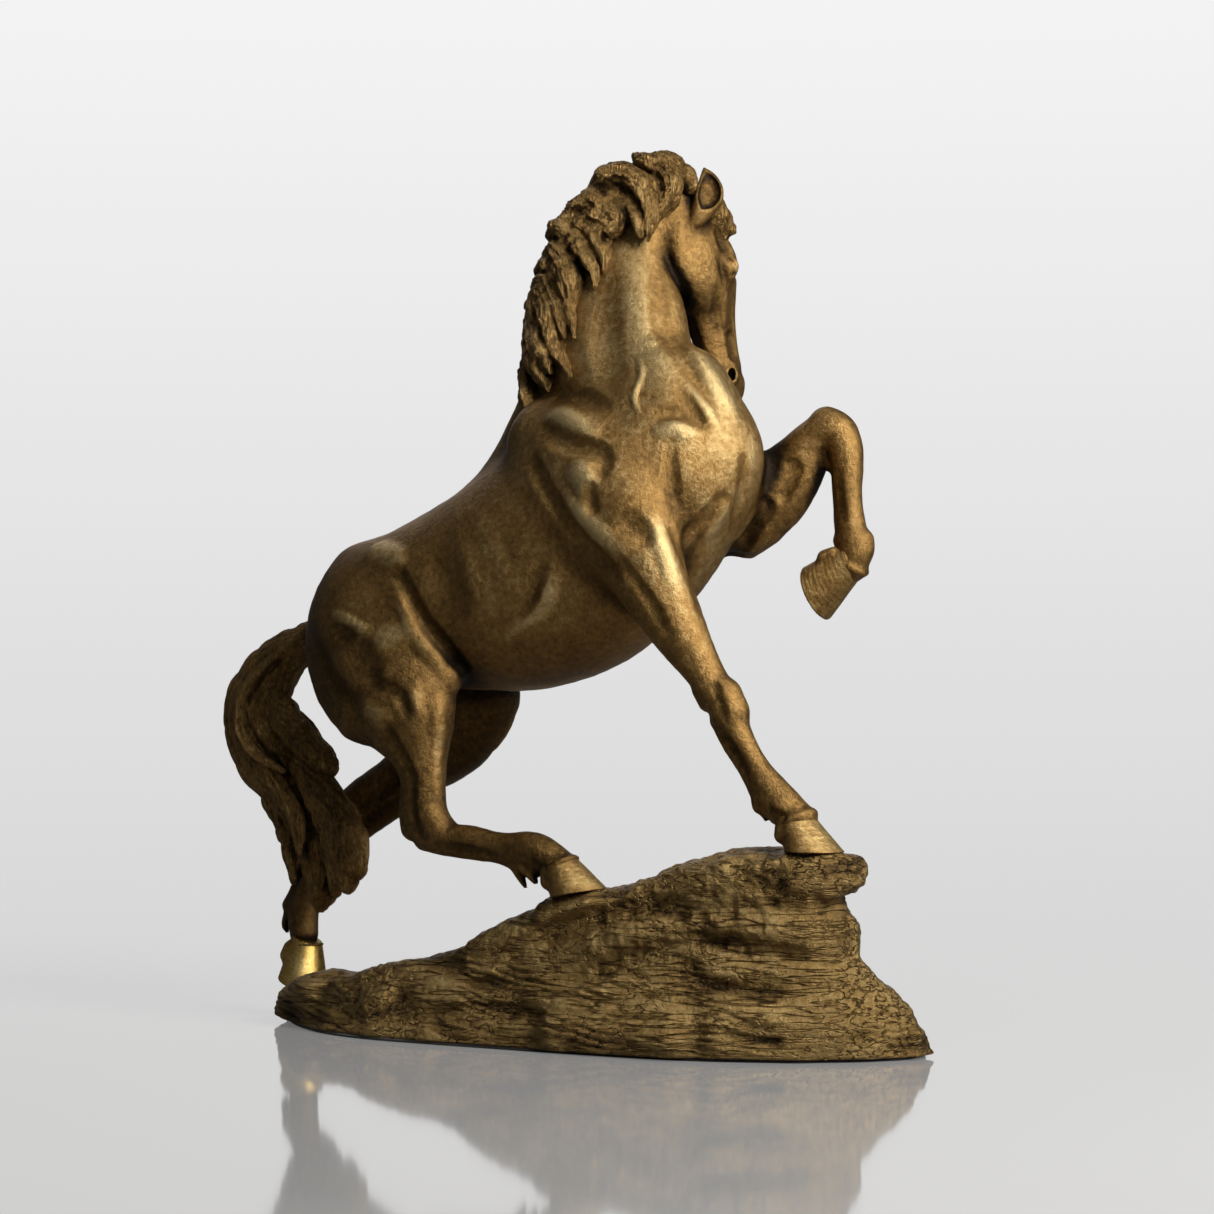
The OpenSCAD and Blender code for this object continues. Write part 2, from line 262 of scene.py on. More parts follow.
def grain(points, size, seed=0):
    """Smooth random value from -1 to 1 at each point, with bumps of that size, one or per axis."""
    at = points / np.asarray(size, float)
    cell = np.floor(at).astype(np.int64)
    t = at - cell
    t = t * t * (3 - 2 * t)
    total = 0
    for corner in product((0, 1), repeat=3):
        share = np.abs(1 - np.array(corner) - t).prod(axis=1)
        total = total + share * lattice(*(cell + corner).T, seed)
    return 2 * total - 1


def skin(clay):
    """Points and quads of the clay's surface: one point in each cell that the surface crosses."""
    field = clay.field
    inside = field < 0
    count = np.array(field.shape)
    stride = np.array([count[1] * count[2], count[2], 1])
    cells, spots, quads = [], [], []
    for axis in range(3):
        other = [a for a in range(3) if a != axis]
        near, far = [slice(None)] * 3, [slice(None)] * 3
        near[axis], far[axis] = slice(None, -1), slice(1, None)
        at = np.argwhere(inside[tuple(near)] != inside[tuple(far)])
        at = at[((at[:, other] > 0) & (at[:, other] < count[other] - 1)).all(1)]
        ahead = at.copy()
        ahead[:, axis] += 1
        a, b = field[tuple(at.T)], field[tuple(ahead.T)]
        spot = at.astype(float)
        spot[:, axis] += a / (a - b)
        corners = []
        for da, db in ((0, 0), (-1, 0), (-1, -1), (0, -1)):
            cell = at.copy()
            cell[:, other[0]] += da
            cell[:, other[1]] += db
            corners.append(cell @ stride)
        quad = np.stack(corners, 1)
        turn = (a > 0) ^ (axis == 1)
        quad[turn] = quad[turn, ::-1]
        cells.append(quad.ravel())
        spots.append(np.repeat(spot, 4, 0))
        quads.append(quad)
    _, index = np.unique(np.concatenate(cells), return_inverse=True)
    spots = np.concatenate(spots)
    points = np.stack([np.bincount(index, spots[:, a]) for a in range(3)], 1)
    points /= np.bincount(index)[:, None]
    return clay.low + clay.step * points, index.reshape(-1, 4)


def relax(points, quads, passes):
    """Each point moved halfway to the middle of its neighbours."""
    ends = np.concatenate([quads, np.roll(quads, -1, 1)], 1).reshape(-1, 2, 4).swapaxes(1, 2)
    ends = ends.reshape(-1, 2)
    a = np.concatenate([ends[:, 0], ends[:, 1]])
    b = np.concatenate([ends[:, 1], ends[:, 0]])
    share = np.bincount(a, minlength=len(points))[:, None]
    for _ in range(passes):
        middle = np.stack([np.bincount(a, points[b, k], len(points)) for k in range(3)], 1) / share
        points = 0.5 * (points + middle)
    return points


def on_surface(clay, points):
    """The points moved by small steps onto the clay's surface."""
    return clay.pull(points, rounds=3, reach=0.5 * clay.step, longest=clay.step, flattest=0.2)


def outward(clay, points, reach):
    g = clay.slope(points, reach)
    return g / np.maximum(np.linalg.norm(g, axis=1, keepdims=True), 1e-6)


def recess(clay, points, normals, near=3.0, wide=9.0):
    """How far each point lies in a crease, from 0 on an open form to 1."""
    shade = 0
    for reach in (near, wide):
        shade = shade + np.clip(1 - clay.sample(points + reach * normals) / reach, -0.2, 1) / 2
    return shade


def mesh_of(clay, rough=0.0):
    """Points, quads, normals and recess values of a block's finished surface."""
    points, quads = skin(clay)
    points = on_surface(clay, relax(points, quads, 2))
    normals = outward(clay, points, 0.8 * clay.step)
    shade = recess(clay, points, outward(clay, points, 2 * clay.step))
    if rough:
        lump = grain(points, 9, 5) + 0.6 * grain(points, 4.5, 6) + 0.35 * grain(points, 2.4, 7)
        points = points + (rough * lump)[:, None] * normals
    return points, quads, normals, shade


# ---------------------------------------------------------------- the horse's forms, in mm
# Stations of a stroke: centre x, y, z, half width, half depth.
TORSO = [(-119, 0, 203, 38, 33), (-106, 0, 210, 43, 39),
         (-82, 0, 217, 46, 43), (-52, 0, 223, 47, 50), (-24, 0, 230, 48, 57), (4, 0, 243, 46, 61),
         (30, 0, 262, 43, 58), (54, 0, 277, 38, 46), (73, 0, 285, 31, 33), (84, 0, 290, 19, 20)]
NECK = [(44, 0, 268, 33, 48), (37, 0, 300, 31, 58), (30, 2, 316, 28, 47.5),
        (24.5, 4, 332, 25, 42.5), (22, 11, 362, 20, 35), (24.5, 18, 388, 16, 22.5),
        (34, 24, 406, 13, 16), (40, 28, 414, 11, 11)]
FORELEG_RIGHT = [(14, -22, 298, 10, 16), (26, -27, 282, 15, 25), (42, -30, 263, 18, 29),
                 (57, -33, 244, 17, 24), (68, -35, 227, 15, 19), (81, -35, 206, 13, 15),
                 (94, -34, 186, 9.5, 10.5), (102, -33, 174, 8.6, 8.8), (109, -32, 163, 8.2, 8.6),
                 (116, -32, 151, 6.6, 6.5), (125, -31, 137, 5.8, 5.6), (134, -30, 123, 8.4, 9.0),
                 (147, -30, 111, 8.6, 8.8)]
FORELEG_LEFT = [(20, 22, 296, 10, 16), (40, 26, 284, 15, 25), (62, 30, 272, 17, 27),
                (80, 33, 267, 16, 24), (94, 35, 269, 14, 20), (106, 36, 280, 12.5, 16),
                (117, 37, 293, 11, 11.5), (128, 37, 299, 10, 10), (135, 37, 289, 8.5, 8.8),
                (137, 36, 267, 6, 7), (139, 36, 250, 6.6, 7.5), (141, 36, 241, 8, 8.8),
                (139, 36, 231, 6.6, 6.8)]
HINDLEG_RIGHT = [(-118, -20, 234, 10, 14), (-108, -25, 216, 18, 28), (-97, -30, 195, 20, 36),
                 (-80, -33, 171, 18, 31), (-70, -34, 147, 13, 18), (-65, -35, 127, 9, 12),
                 (-63, -36, 108, 9, 12), (-50, -37, 100, 8, 8), (-34, -38, 99, 6.6, 7.4),
                 (-14, -38, 96, 6.2, 7.2), (4, -38, 95, 8.2, 9), (20, -38, 87, 8, 8.2)]
HINDLEG_LEFT = [(-98, 22, 208, 18, 32), (-90, 30, 184, 20, 35), (-92, 34, 160, 17, 27),
                (-108, 36, 142, 14, 20), (-132, 35, 127, 10, 14), (-156, 32, 113, 9, 12),
                (-173, 29, 98, 8.5, 10.5), (-182, 26, 77, 6.2, 7.5), (-187, 23, 57, 8, 9),
                (-184, 20, 43, 7.5, 8)]
DOCK = [(-146, 0, 205, 12, 11), (-158, 0, 201, 10, 9.5), (-170, 0, 198, 9, 9)]
BASE_STROKES = {"torso": TORSO, "neck": NECK, "foreleg_right": FORELEG_RIGHT,
                "foreleg_left": FORELEG_LEFT, "hindleg_right": HINDLEG_RIGHT,
                "hindleg_left": HINDLEG_LEFT}

# The head turns to the horse's left. Its own frame runs from the poll: down the nose, to the
# head's right, and out through the face.
POLL = np.array([43.0, 30.0, 415.0])
NOSE_WAY = unit((0.109, 0.294, -0.950))
HEAD_RIGHT = unit(np.array([0.94, -0.34, 0.05]) - np.dot((0.94, -0.34, 0.05), NOSE_WAY) * NOSE_WAY)
FACE_WAY = np.cross(HEAD_RIGHT, NOSE_WAY)
# Along the nose, sideways, out of the face, half width, half depth.
SKULL = [(-4, 0, -2, 8, 9), (4, 0, 0, 12, 13), (16, 0, 0, 15.5, 17.5), (30, 0, 0.5, 17, 20),
         (40, 0, 1, 15.5, 19), (50, 0, 2, 12, 15.5), (62, 0, 1.5, 9.5, 12.5), (74, 0, 1, 8.5, 11),
         (84, 0, 1, 8.8, 10.5), (93, 0, 1, 8.5, 10), (98, 0, 0.5, 6.5, 7.5)]


def from_head(rows):
    """Rows of the head's own frame put in the row frame."""
    return [tuple(POLL + r[0] * NOSE_WAY + r[1] * HEAD_RIGHT + r[2] * FACE_WAY) + tuple(r[3:])
            for r in rows]


def both_sides(rows):
    return [rows, [(r[0], -r[1]) + tuple(r[2:]) for r in rows]]


def across_head(points):
    """Points of the head's right side mirrored to its left."""
    p = np.array(points, float)
    p[:, :3] -= 2 * ((p[:, :3] - POLL) @ HEAD_RIGHT)[:, None] * HEAD_RIGHT
    return p


EAR = [(57, 26, 405, 3.5, 3), (59.5, 27.5, 411, 5.8, 4), (62.5, 29, 418, 7.2, 4),
       (62, 29.5, 425, 5.0, 2.8), (59, 30, 432, 0.7, 0.7)]
EAR_WIDE = np.array([0.84, 0.54, 0.0])
EAR_OPEN = np.array([0.54, -0.84, 0.1])


def ear_stroke(side):
    return np.array(EAR, float) if side > 0 else across_head(EAR)


def ear_way(way, side):
    return way if side > 0 else way - 2 * (way @ HEAD_RIGHT) * HEAD_RIGHT


def rough_body(clay):
    clay.add(TORSO, blend=2, per_span=6)
    clay.add(NECK, blend=11, per_span=10, cap=0.4)
    # withers and the top of the neck's root
    clay.add([(-44, 0, 266, 12, 12), (-30, 0, 291, 12, 14), (-16, 0, 315, 12, 14),
              (-8, 2, 345, 9, 12)], blend=12)
    # brisket
    clay.add([(66, 0, 262, 20, 22), (78, 0, 271, 19, 18), (83, 0, 282, 15, 15)], blend=12)
    for y in (-1, 1):
        # buttocks and the backs of the thighs
        clay.add([(-135, 12 * y, 203, 11), (-132, 21 * y, 189, 13), (-122, 27 * y, 173, 14),
                  (-106, 32 * y, 160, 14)], blend=12)
        # croup muscle, hip to dock
        clay.add([(-96, 18 * y, 227, 19), (-120, 20 * y, 213, 18), (-131, 13 * y, 203, 12)],
                 blend=12)
        # shoulder blade and its muscles
        clay.add([(-8, 20 * y, 300, 12, 16), (14, 26 * y, 284, 14, 24), (36, 30 * y, 268, 15, 28),
                  (54, 31 * y, 256, 15, 24)], blend=12)
        # breast muscle
        clay.add([(58, 21 * y, 288, 15), (74, 19 * y, 279, 14), (82, 13 * y, 268, 12)], blend=9)
    for stations in (FORELEG_RIGHT, FORELEG_LEFT):
        clay.add(stations, blend=9)
    for stations in (HINDLEG_RIGHT, HINDLEG_LEFT):
        clay.add(stations, blend=10)
    clay.add(DOCK, blend=8)


# Presses and lifts of the thumb over the rough forms: radius, height, path on the surface.
# Those under BOTH are on the left flank too.
RELIEF = 1.4
BOTH = [
    # shoulder blade: groove over it, muscle above and below, the back edge of the triceps
    (7, -3.0, [(10, -39, 299), (25, -44, 292), (45, -45, 286), (48, -47, 278)]),
    (10, 1.6, [(36, -48, 277), (40, -48, 273)]),
    (8, 2.4, [(12, -34, 306), (21, -37, 305), (38, -42, 297)]),
    (7, -1.6, [(8, -26, 317), (28, -31, 315), (39, -34, 310)]),
    (6.5, -2.4, [(4, -42, 285), (11, -44, 275), (28, -48, 255), (42, -48, 240), (57, -49, 228)]),
    (5, -1.1, [(43, -50, 269), (45, -50, 259)]),
    (9, -1.6, [(65, -49, 251), (71, -48, 246)]),
    (7, 1.4, [(30, -48, 262), (46, -50, 250), (60, -50, 238)]),
    # point of the shoulder and the breast
    (6, 2.2, [(74, -36, 298), (81, -34, 299), (88, -32, 296)]),
    (5, -1.6, [(72, -33, 306), (82, -31, 307), (90, -28, 304)]),
    (5, -1.2, [(80, -37, 289), (81, -36, 272), (82, -33, 259)]),
    (6, -2.4, [(102, -19, 261), (90, -21, 250), (82, -25, 240)]),
    (8, 1.2, [(98, -18, 254), (92, -16, 247)]),
    # forearm
    (7, 1.7, [(75, -44, 254), (81, -43, 240), (89, -42, 220)]),
    (4.5, -1.5, [(82, -36, 247), (87, -30, 228), (95, -34, 211)]),
    (4.5, -1.4, [(61, -50, 234), (76, -49, 215), (86, -47, 199)]),
    # belly fold behind the elbow, and ribs
    (7, 1.1, [(18, -43, 229), (14, -42, 219), (9, -41, 212), (-6, -41, 204), (-16, -39, 197)]),
    (6, -1.2, [(12, -44, 232), (6, -43, 220), (-2, -43, 210), (-14, -42, 203)]),
    (8, 0.35, [(-25, -43, 256), (-12, -47, 238), (-3, -44, 220)]),
    (8, 0.3, [(-40, -42, 248), (-28, -47, 228), (-19, -44, 212)]),
    # flank, stifle and thigh
    (16, -2.2, [(-49, -45, 240), (-43, -48, 225), (-41, -46, 212)]),
    (6, -2.6, [(-77, -44, 233), (-68, -46, 223), (-58, -45, 207), (-50, -40, 196),
               (-45, -31, 185)]),
    (7, 1.8, [(-71, -47, 218), (-61, -44, 198), (-53, -39, 187), (-50, -34, 180)]),
    (8, 1.8, [(-50, -33, 180), (-47, -30, 176)]),
    (10, 1.8, [(-93, -38, 244), (-78, -42, 238)]),
    (6.5, -2.8, [(-111, -48, 202), (-107, -49, 201), (-101, -49, 201)]),
    (4.5, 1.4, [(-112, -46, 211), (-101, -49, 207), (-89, -50, 202)]),
    (10, 1.6, [(-79, -49, 198), (-69, -46, 200)]),
    (12, -1.8, [(-94, -51, 188), (-88, -51, 182)]),
    (5.5, -2.0, [(-86, -51, 178), (-79, -51, 173), (-70, -51, 170), (-62, -48, 158)]),
    (9, 1.2, [(-88, -50, 163), (-81, -50, 159)]),
    (6, -1.4, [(-122, -40, 196), (-112, -44, 180), (-100, -46, 168)]),
    # gaskin
    (6, 1.4, [(-61, -48, 174), (-61, -48, 163), (-62, -47, 152)]),
    (4.5, -1.7, [(-78, -48, 156), (-74, -47, 146), (-67, -45, 131), (-66, -44, 120)]),
    (5, 0.9, [(-51, -41, 168), (-51, -40, 148), (-53, -40, 128)]),
]
RIGHT_ONLY = [
    # neck: vein, throat, windpipe, the groove beside it, the long band of muscle
    (2.4, 1.0, [(54, -24, 334), (57, -27, 326), (56, -30, 319), (56, -32, 313), (60, -34, 307)]),
    (4, 1.1, [(82, -22, 321), (92, -23, 311), (100, -23, 301)]),
    (4, -1.0, [(78, -24, 316), (86, -26, 307), (94, -26, 298)]),
    (8, 1.6, [(81, -10, 341), (88, -13, 329), (98, -12, 318), (104, -13, 308)]),
    (7, -1.5, [(51, 3, 385), (58, -9, 362), (73, -16, 339), (89, -19, 318)]),
    (13, 0.9, [(35, 0, 389), (48, -12, 362), (62, -21, 336), (72, -26, 318)]),
    (12, -2.0, [(24, -8, 372), (31, -19, 345), (41, -29, 322)]),
    # the crease between chest and raised leg
    (5, -2.4, [(113, -11, 281), (107, -5, 259), (99, 1, 248)]),
]
# Small forms of the legs, added after the clay has settled: blend, stations.
LEG_DETAILS = [
    # front right: knee, bone behind it, tendon, fetlock, tufts
    (4, [(110, -33, 171, 6.6), (113, -32, 163, 6.6)]),
    (2.5, [(96, -34, 172, 4.2), (98, -33, 166, 3.6)]),
    (2.5, [(103, -32, 158, 3.2), (111, -32, 145, 3.0), (119, -31, 134, 3.2), (126, -31, 124, 4.4)]),
    (2.5, [(127, -30, 119, 5), (131, -30, 117, 4.2)]),
    (1.5, [(127, -30, 119, 3), (129, -30, 112, 1.2)]),
    (1.5, [(132, -32, 118, 3), (134, -32, 111, 1)]),
    # hind right: point of the hock, its side bone, tendon, tuft
    (4, [(-70, -36, 132, 3.6), (-73, -36, 118, 5), (-71, -36, 104, 6.2)]),
    (3, [(-58, -38, 112, 7), (-52, -38, 104, 7)]),
    (2.5, [(-64, -37, 97, 4), (-40, -38, 93, 3.2), (-18, -38, 91, 3.2), (-4, -38, 88, 4.6)]),
    (2.5, [(-2, -38, 88, 5), (3, -38, 86, 5)]),
    (1.2, [(-8, -39, 88, 2.8), (-4, -39, 82, 2), (-1, -39, 77, 0.9)]),
    (1.2, [(-4, -35, 88, 2.8), (0, -35, 83, 2), (3, -35, 79, 0.9)]),
    (1.2, [(-1, -41, 87, 2.6), (4, -41, 82, 1.8), (6, -41, 79, 0.9)]),
    # front left, raised: knee cap, bone behind, tendon, fetlock, tuft
    (3, [(124, 37, 304, 6.8), (132, 37, 298, 6.8)]),
    (2.5, [(124, 36, 289, 4.2), (127, 36, 282, 3.6)]),
    (2.5, [(131, 36, 280, 3), (132, 36, 262, 3), (133, 36, 252, 3.6)]),
    (2.5, [(134, 36, 245, 5), (136, 36, 240, 4.4)]),
    (1.2, [(134, 36, 243, 3), (129, 36, 239, 1.2)]),
    (3, [(145, 36, 245, 4.6), (145, 36, 240, 4.4)]),
    # elbow of the raised leg
    (7, [(82, 32, 248, 10), (90, 33, 252, 9)]),
    # hind left: hock, tendon, fetlock, spur
    (4, [(-122, 35, 117, 4), (-146, 34, 104, 5), (-163, 31, 93, 5)]),
    (3, [(-182, 29, 96, 6), (-184, 28, 90, 5.5)]),
    (2.5, [(-186, 26, 84, 3), (-193, 24, 66, 3.4), (-196, 23, 58, 4.4)]),
    (1.2, [(-196, 23, 55, 3.6), (-199, 23, 48, 2.4), (-198, 23, 44, 1)]),
]
LEG_PRESSES = [
    (3, -0.9, [(107, -38, 158), (115, -37, 146), (122, -36, 135)]),
    (3, -0.9, [(107, -26, 158), (115, -26, 146), (122, -26, 135)]),
    (3.5, -0.8, [(108, -41, 174), (112, -40, 160)]),
    (3, -0.8, [(136, -37, 117), (143, -37, 113)]),
    (3, -1.0, [(-50, -44, 97), (-34, -44, 95), (-16, -44, 92)]),
    (3, -1.0, [(-50, -31, 97), (-34, -32, 95), (-16, -32, 92)]),
    (3.5, -1.2, [(-66, -44, 122), (-64, -44, 110), (-58, -45, 100)]),
    (3, -0.8, [(8, -45, 90), (14, -45, 86)]),
    (3, -0.9, [(135, 30, 278), (136, 30, 264), (138, 29, 254)]),
    (3, -0.9, [(135, 42, 278), (136, 42, 264), (138, 43, 254)]),
    (6, -2.0, [(106, 27, 268), (112, 27, 280)]),
    (3, -0.9, [(-186, 19, 86), (-189, 18, 72), (-191, 17, 62)]),
    (4, -1.2, [(-112, 23, 140), (-132, 26, 122), (-150, 25, 110)]),
]
HEAD_DETAILS = [
    # cheek plates, brows, sockets, crests below the eyes, edges of the nose
    (4, [(16, 9, -8, 5, 9), (26, 11, -7, 6, 13), (36, 11, -5, 6, 13), (46, 9, -2, 5, 9)]),
    (4, [(26, 12, 13, 4), (33, 14, 12.5, 4), (40, 14, 9, 3.5)]),
    (3, [(35.5, 14.5, 9, 5), (36.5, 14.5, 9, 5)]),
    (3, [(42, 13, 5, 2.6), (52, 11, 4, 2.3), (62, 9, 3, 1.5)]),
    (3, [(44, 6, 17, 3), (60, 5, 12, 2.5), (76, 4, 9.6, 2.2), (86, 3.5, 9, 2)]),
    (2, [(18, 10, -14, 2.4), (27, 11.5, -19, 2.6), (36, 10.5, -18, 2.4), (44, 8, -14, 2)]),
    # muzzle
    (3, [(86, 6.5, 1, 4.4), (90, 6.5, 0, 4.2)]),
    (3.5, [(94, 2.5, 4, 6), (98, 2, 3, 5.4)]),
    (3, [(88, 2, -6, 4.8), (95, 1.5, -6.5, 4.6)]),
]


def head_forms(clay):
    clay.add(from_head(SKULL), blend=5, side=HEAD_RIGHT)
    for blend, rows in HEAD_DETAILS:
        for half in both_sides(rows):
            clay.add(from_head(half), blend=blend, side=HEAD_RIGHT)


def eye(clay, s):
    """An eyeball in its socket, between two lids; s is 1 on the right, -1 on the left."""
    middle = np.array([36, 16.4 * s, 9.6])
    clay.cut(from_head([tuple(middle + (-2.5, 0.8 * s, 0.4)) + (2.2,),
                        tuple(middle + (2.5, 0.8 * s, -0.4)) + (2.2,)]), blend=1.2)
    clay.add(from_head([tuple(middle - (0.8, 0, 0)) + (3.1,),
                        tuple(middle + (0.8, 0, 0)) + (3.1,)]), blend=0.5)
    for lift, out in ((2.6, 2.4), (-2.3, 1.8)):
        lid = [tuple(middle + (a, s * (out - 0.10 * a * a),
                               lift * (1 - a * a / 30) + 0.3 - 0.12 * a)) + (1.05,)
               for a in (-4.6, -2.6, 0, 2.6, 4.6)]
        clay.add(from_head(lid), blend=0.8)


def nostril(clay, s):
    """A nostril: its rim and its hole."""
    middle = np.array([88.5, 9.3 * s, -0.8])
    rim = [tuple(middle + (3.4 * math.cos(v), 0.6 * s * math.sin(v), 2.5 * math.sin(v))) + (1.15,)
           for v in np.linspace(0, 2 * math.pi, 13)]
    clay.add(from_head(rim), blend=1.2)
    clay.cut(from_head([tuple(middle + (-1.6, 1.2 * s, 0.2)) + (1.7,),
                        tuple(middle + (1, -0.6 * s, -0.4)) + (2.0,),
                        tuple(middle + (2.5, -3 * s, -0.6)) + (1.2,)]), blend=0.8)


# Presses and lifts of the face, in the head's frame: radius, height, path. Those of the first
# list are on both sides.
FACE_SIDES = [
    (5, -1.8, [(20, 13, 9), (25, 13.5, 10)]),
    (4, -1.2, [(44, 13, -2), (54, 10, -2), (66, 8.5, -2)]),
    (4.5, -1.3, [(70, 8, 6), (80, 8, 5)]),
    (3, -0.8, [(30, 17, 3), (37, 17, 3.5), (43, 15, 5)]),
    (2, 0.5, [(46, 13, 1), (58, 10, -1), (72, 8.5, 1)]),
    (3, -0.8, [(80, 5, -8), (86, 6, -8)]),
]
FACE_MIDDLE = [
    (5, -2.0, [(26, 0, -20), (44, 0, -16), (62, 0, -11), (74, 0, -10)]),
    (4, -0.6, [(12, 0, 16), (26, 0, 20)]),
]


def head_features(clay):
    """Eyes, nostrils, mouth and the hollows of the face."""
    for s in (-1, 1):
        eye(clay, s)
        nostril(clay, s)
        clay.cut(from_head([(86, 9.6 * s, -5.4, 0.6), (92, 8.6 * s, -4, 0.75),
                            (98, 5.4 * s, -2.8, 0.8), (102, 0, -2.2, 0.8)]), blend=0.7)
        for radius, height, path in FACE_SIDES:
            clay.brush(from_head([(x, s * y, z) for x, y, z in path]), radius, height)
    for radius, height, path in FACE_MIDDLE:
        clay.brush(from_head(path), radius, height)


def ears(clay):
    for side in (1, -1):
        stroke = ear_stroke(side)
        clay.add(stroke, blend=2.5, side=ear_way(EAR_WIDE, side))
        hollow = stroke[1:].copy()
        hollow[:, :3] += 2.9 * ear_way(EAR_OPEN, side)
        hollow[:, 3] = hollow[:, 3] * 0.85 - 0.5
        hollow[:, 4] = hollow[:, 4] * 0.9
        hollow[0, 3:] = 0.8
        hollow[-1, :3] -= (0, 0, 2)
        clay.cut(hollow, blend=1.0, side=ear_way(EAR_WIDE, side))


# The skin's edge over each hoof: centre, the way up the leg, radius.
CORONETS = [((146, -30, 112.5), (-0.42, 0, 0.9), 8.2), ((19.5, -38, 88), (-0.5, 0, 0.86), 8.2),
            ((139.5, 36, 233), (0.55, 0, 0.84), 7.2), ((-182, 19.5, 38), (-0.05, 0, 1), 8.2)]


def coronets(clay):
    for middle, normal, radius in CORONETS:
        normal = unit(normal)
        one = unit(np.cross(normal, (0, 1, 0)))
        two = np.cross(normal, one)
        ring = [tuple(np.array(middle) + radius * (math.cos(v) * one + math.sin(v) * two)) + (1.0,)
                for v in np.linspace(0, 2 * math.pi, 17)]
        clay.add(ring, blend=3, per_span=2)


def horse(clay):
    rough_body(clay)
    head_forms(clay)
    clay.settle(4 if clay.step < 1.5 else 1)
    for blend, stations in LEG_DETAILS:
        clay.add(stations, blend=blend)
    coronets(clay)
    ears(clay)
    for radius, height, path in BOTH:
        clay.brush(path, radius, RELIEF * height)
        clay.brush([(x, -y, z) for x, y, z in path], radius, RELIEF * height)
    for radius, height, path in RIGHT_ONLY + LEG_PRESSES:
        clay.brush(path, radius, RELIEF * height)
    head_features(clay)


# ---------------------------------------------------------------- hair, hooves and rock, in mm
def frames(rows, side):
    """Across and deep directions along a path."""
    ahead = np.gradient(rows[:, :3], axis=0)
    ahead /= np.linalg.norm(ahead, axis=1, keepdims=True)
    wide = np.asarray(side, float) - (ahead @ side)[:, None] * ahead
    wide /= np.linalg.norm(wide, axis=1, keepdims=True)
    return wide, np.cross(ahead, wide)


def lock(clay, guide, ridge_count, seed, side=(0, 1, 0), height=0.75, twist=0.9, strays=9):
    """A lock of hair: one thick ridged form along the guide, with thinner strands lying over it
    and out past its tip."""
    rng = np.random.default_rng(seed)
    side = np.array(side, float)
    rows = curve(guide, 4)
    rows[:, 3:] = np.maximum(rows[:, 3:], 0.6)
    lumps = rng.normal(0, 1, (len(rows), 4)) * np.minimum(1, rows[:, 3] / 6)[:, None]
    rows[:, 1:] += (0.5, 0.5, 0.35, 0.35) * lumps
    comb = (ridge_count, height, twist, rng.uniform(0, 6))
    clay.add(rows, blend=1.3, side=side, per_span=1, comb=comb)
    wide, deep = frames(rows, side)
    last = len(rows) - 1
    for i in range(strays):
        turn = 2 * math.pi * (i + rng.uniform(-0.3, 0.3)) / strays
        start = int(rng.integers(0, 1 + last // 3))
        end = last - int(rng.integers(0, 1 + last // 4))
        t = np.arange(start, end + 1) / last
        part = rows[start:end + 1]
        spin = turn + twist * t + 0.5 * np.sin(5 * t + turn)
        out = rng.uniform(0.86, 1.04) + 0.5 * rng.uniform(0, 1) * np.clip(t - 0.5, 0, 1)
        path = (part[:, :3] + (part[:, 3] * out * np.cos(spin))[:, None] * wide[start:end + 1]
                + (part[:, 4] * out * np.sin(spin))[:, None] * deep[start:end + 1])
        u = (t - t[0]) / (t[-1] - t[0])
        radius = (rng.uniform(0.9, 1.5) * np.clip(0.5 + 2.5 * u, 0, 1)
                  * np.clip(3.0 * (1.08 - u), 0.2, 1))
        clay.add(np.column_stack([path, radius]), blend=0.8, per_span=1)


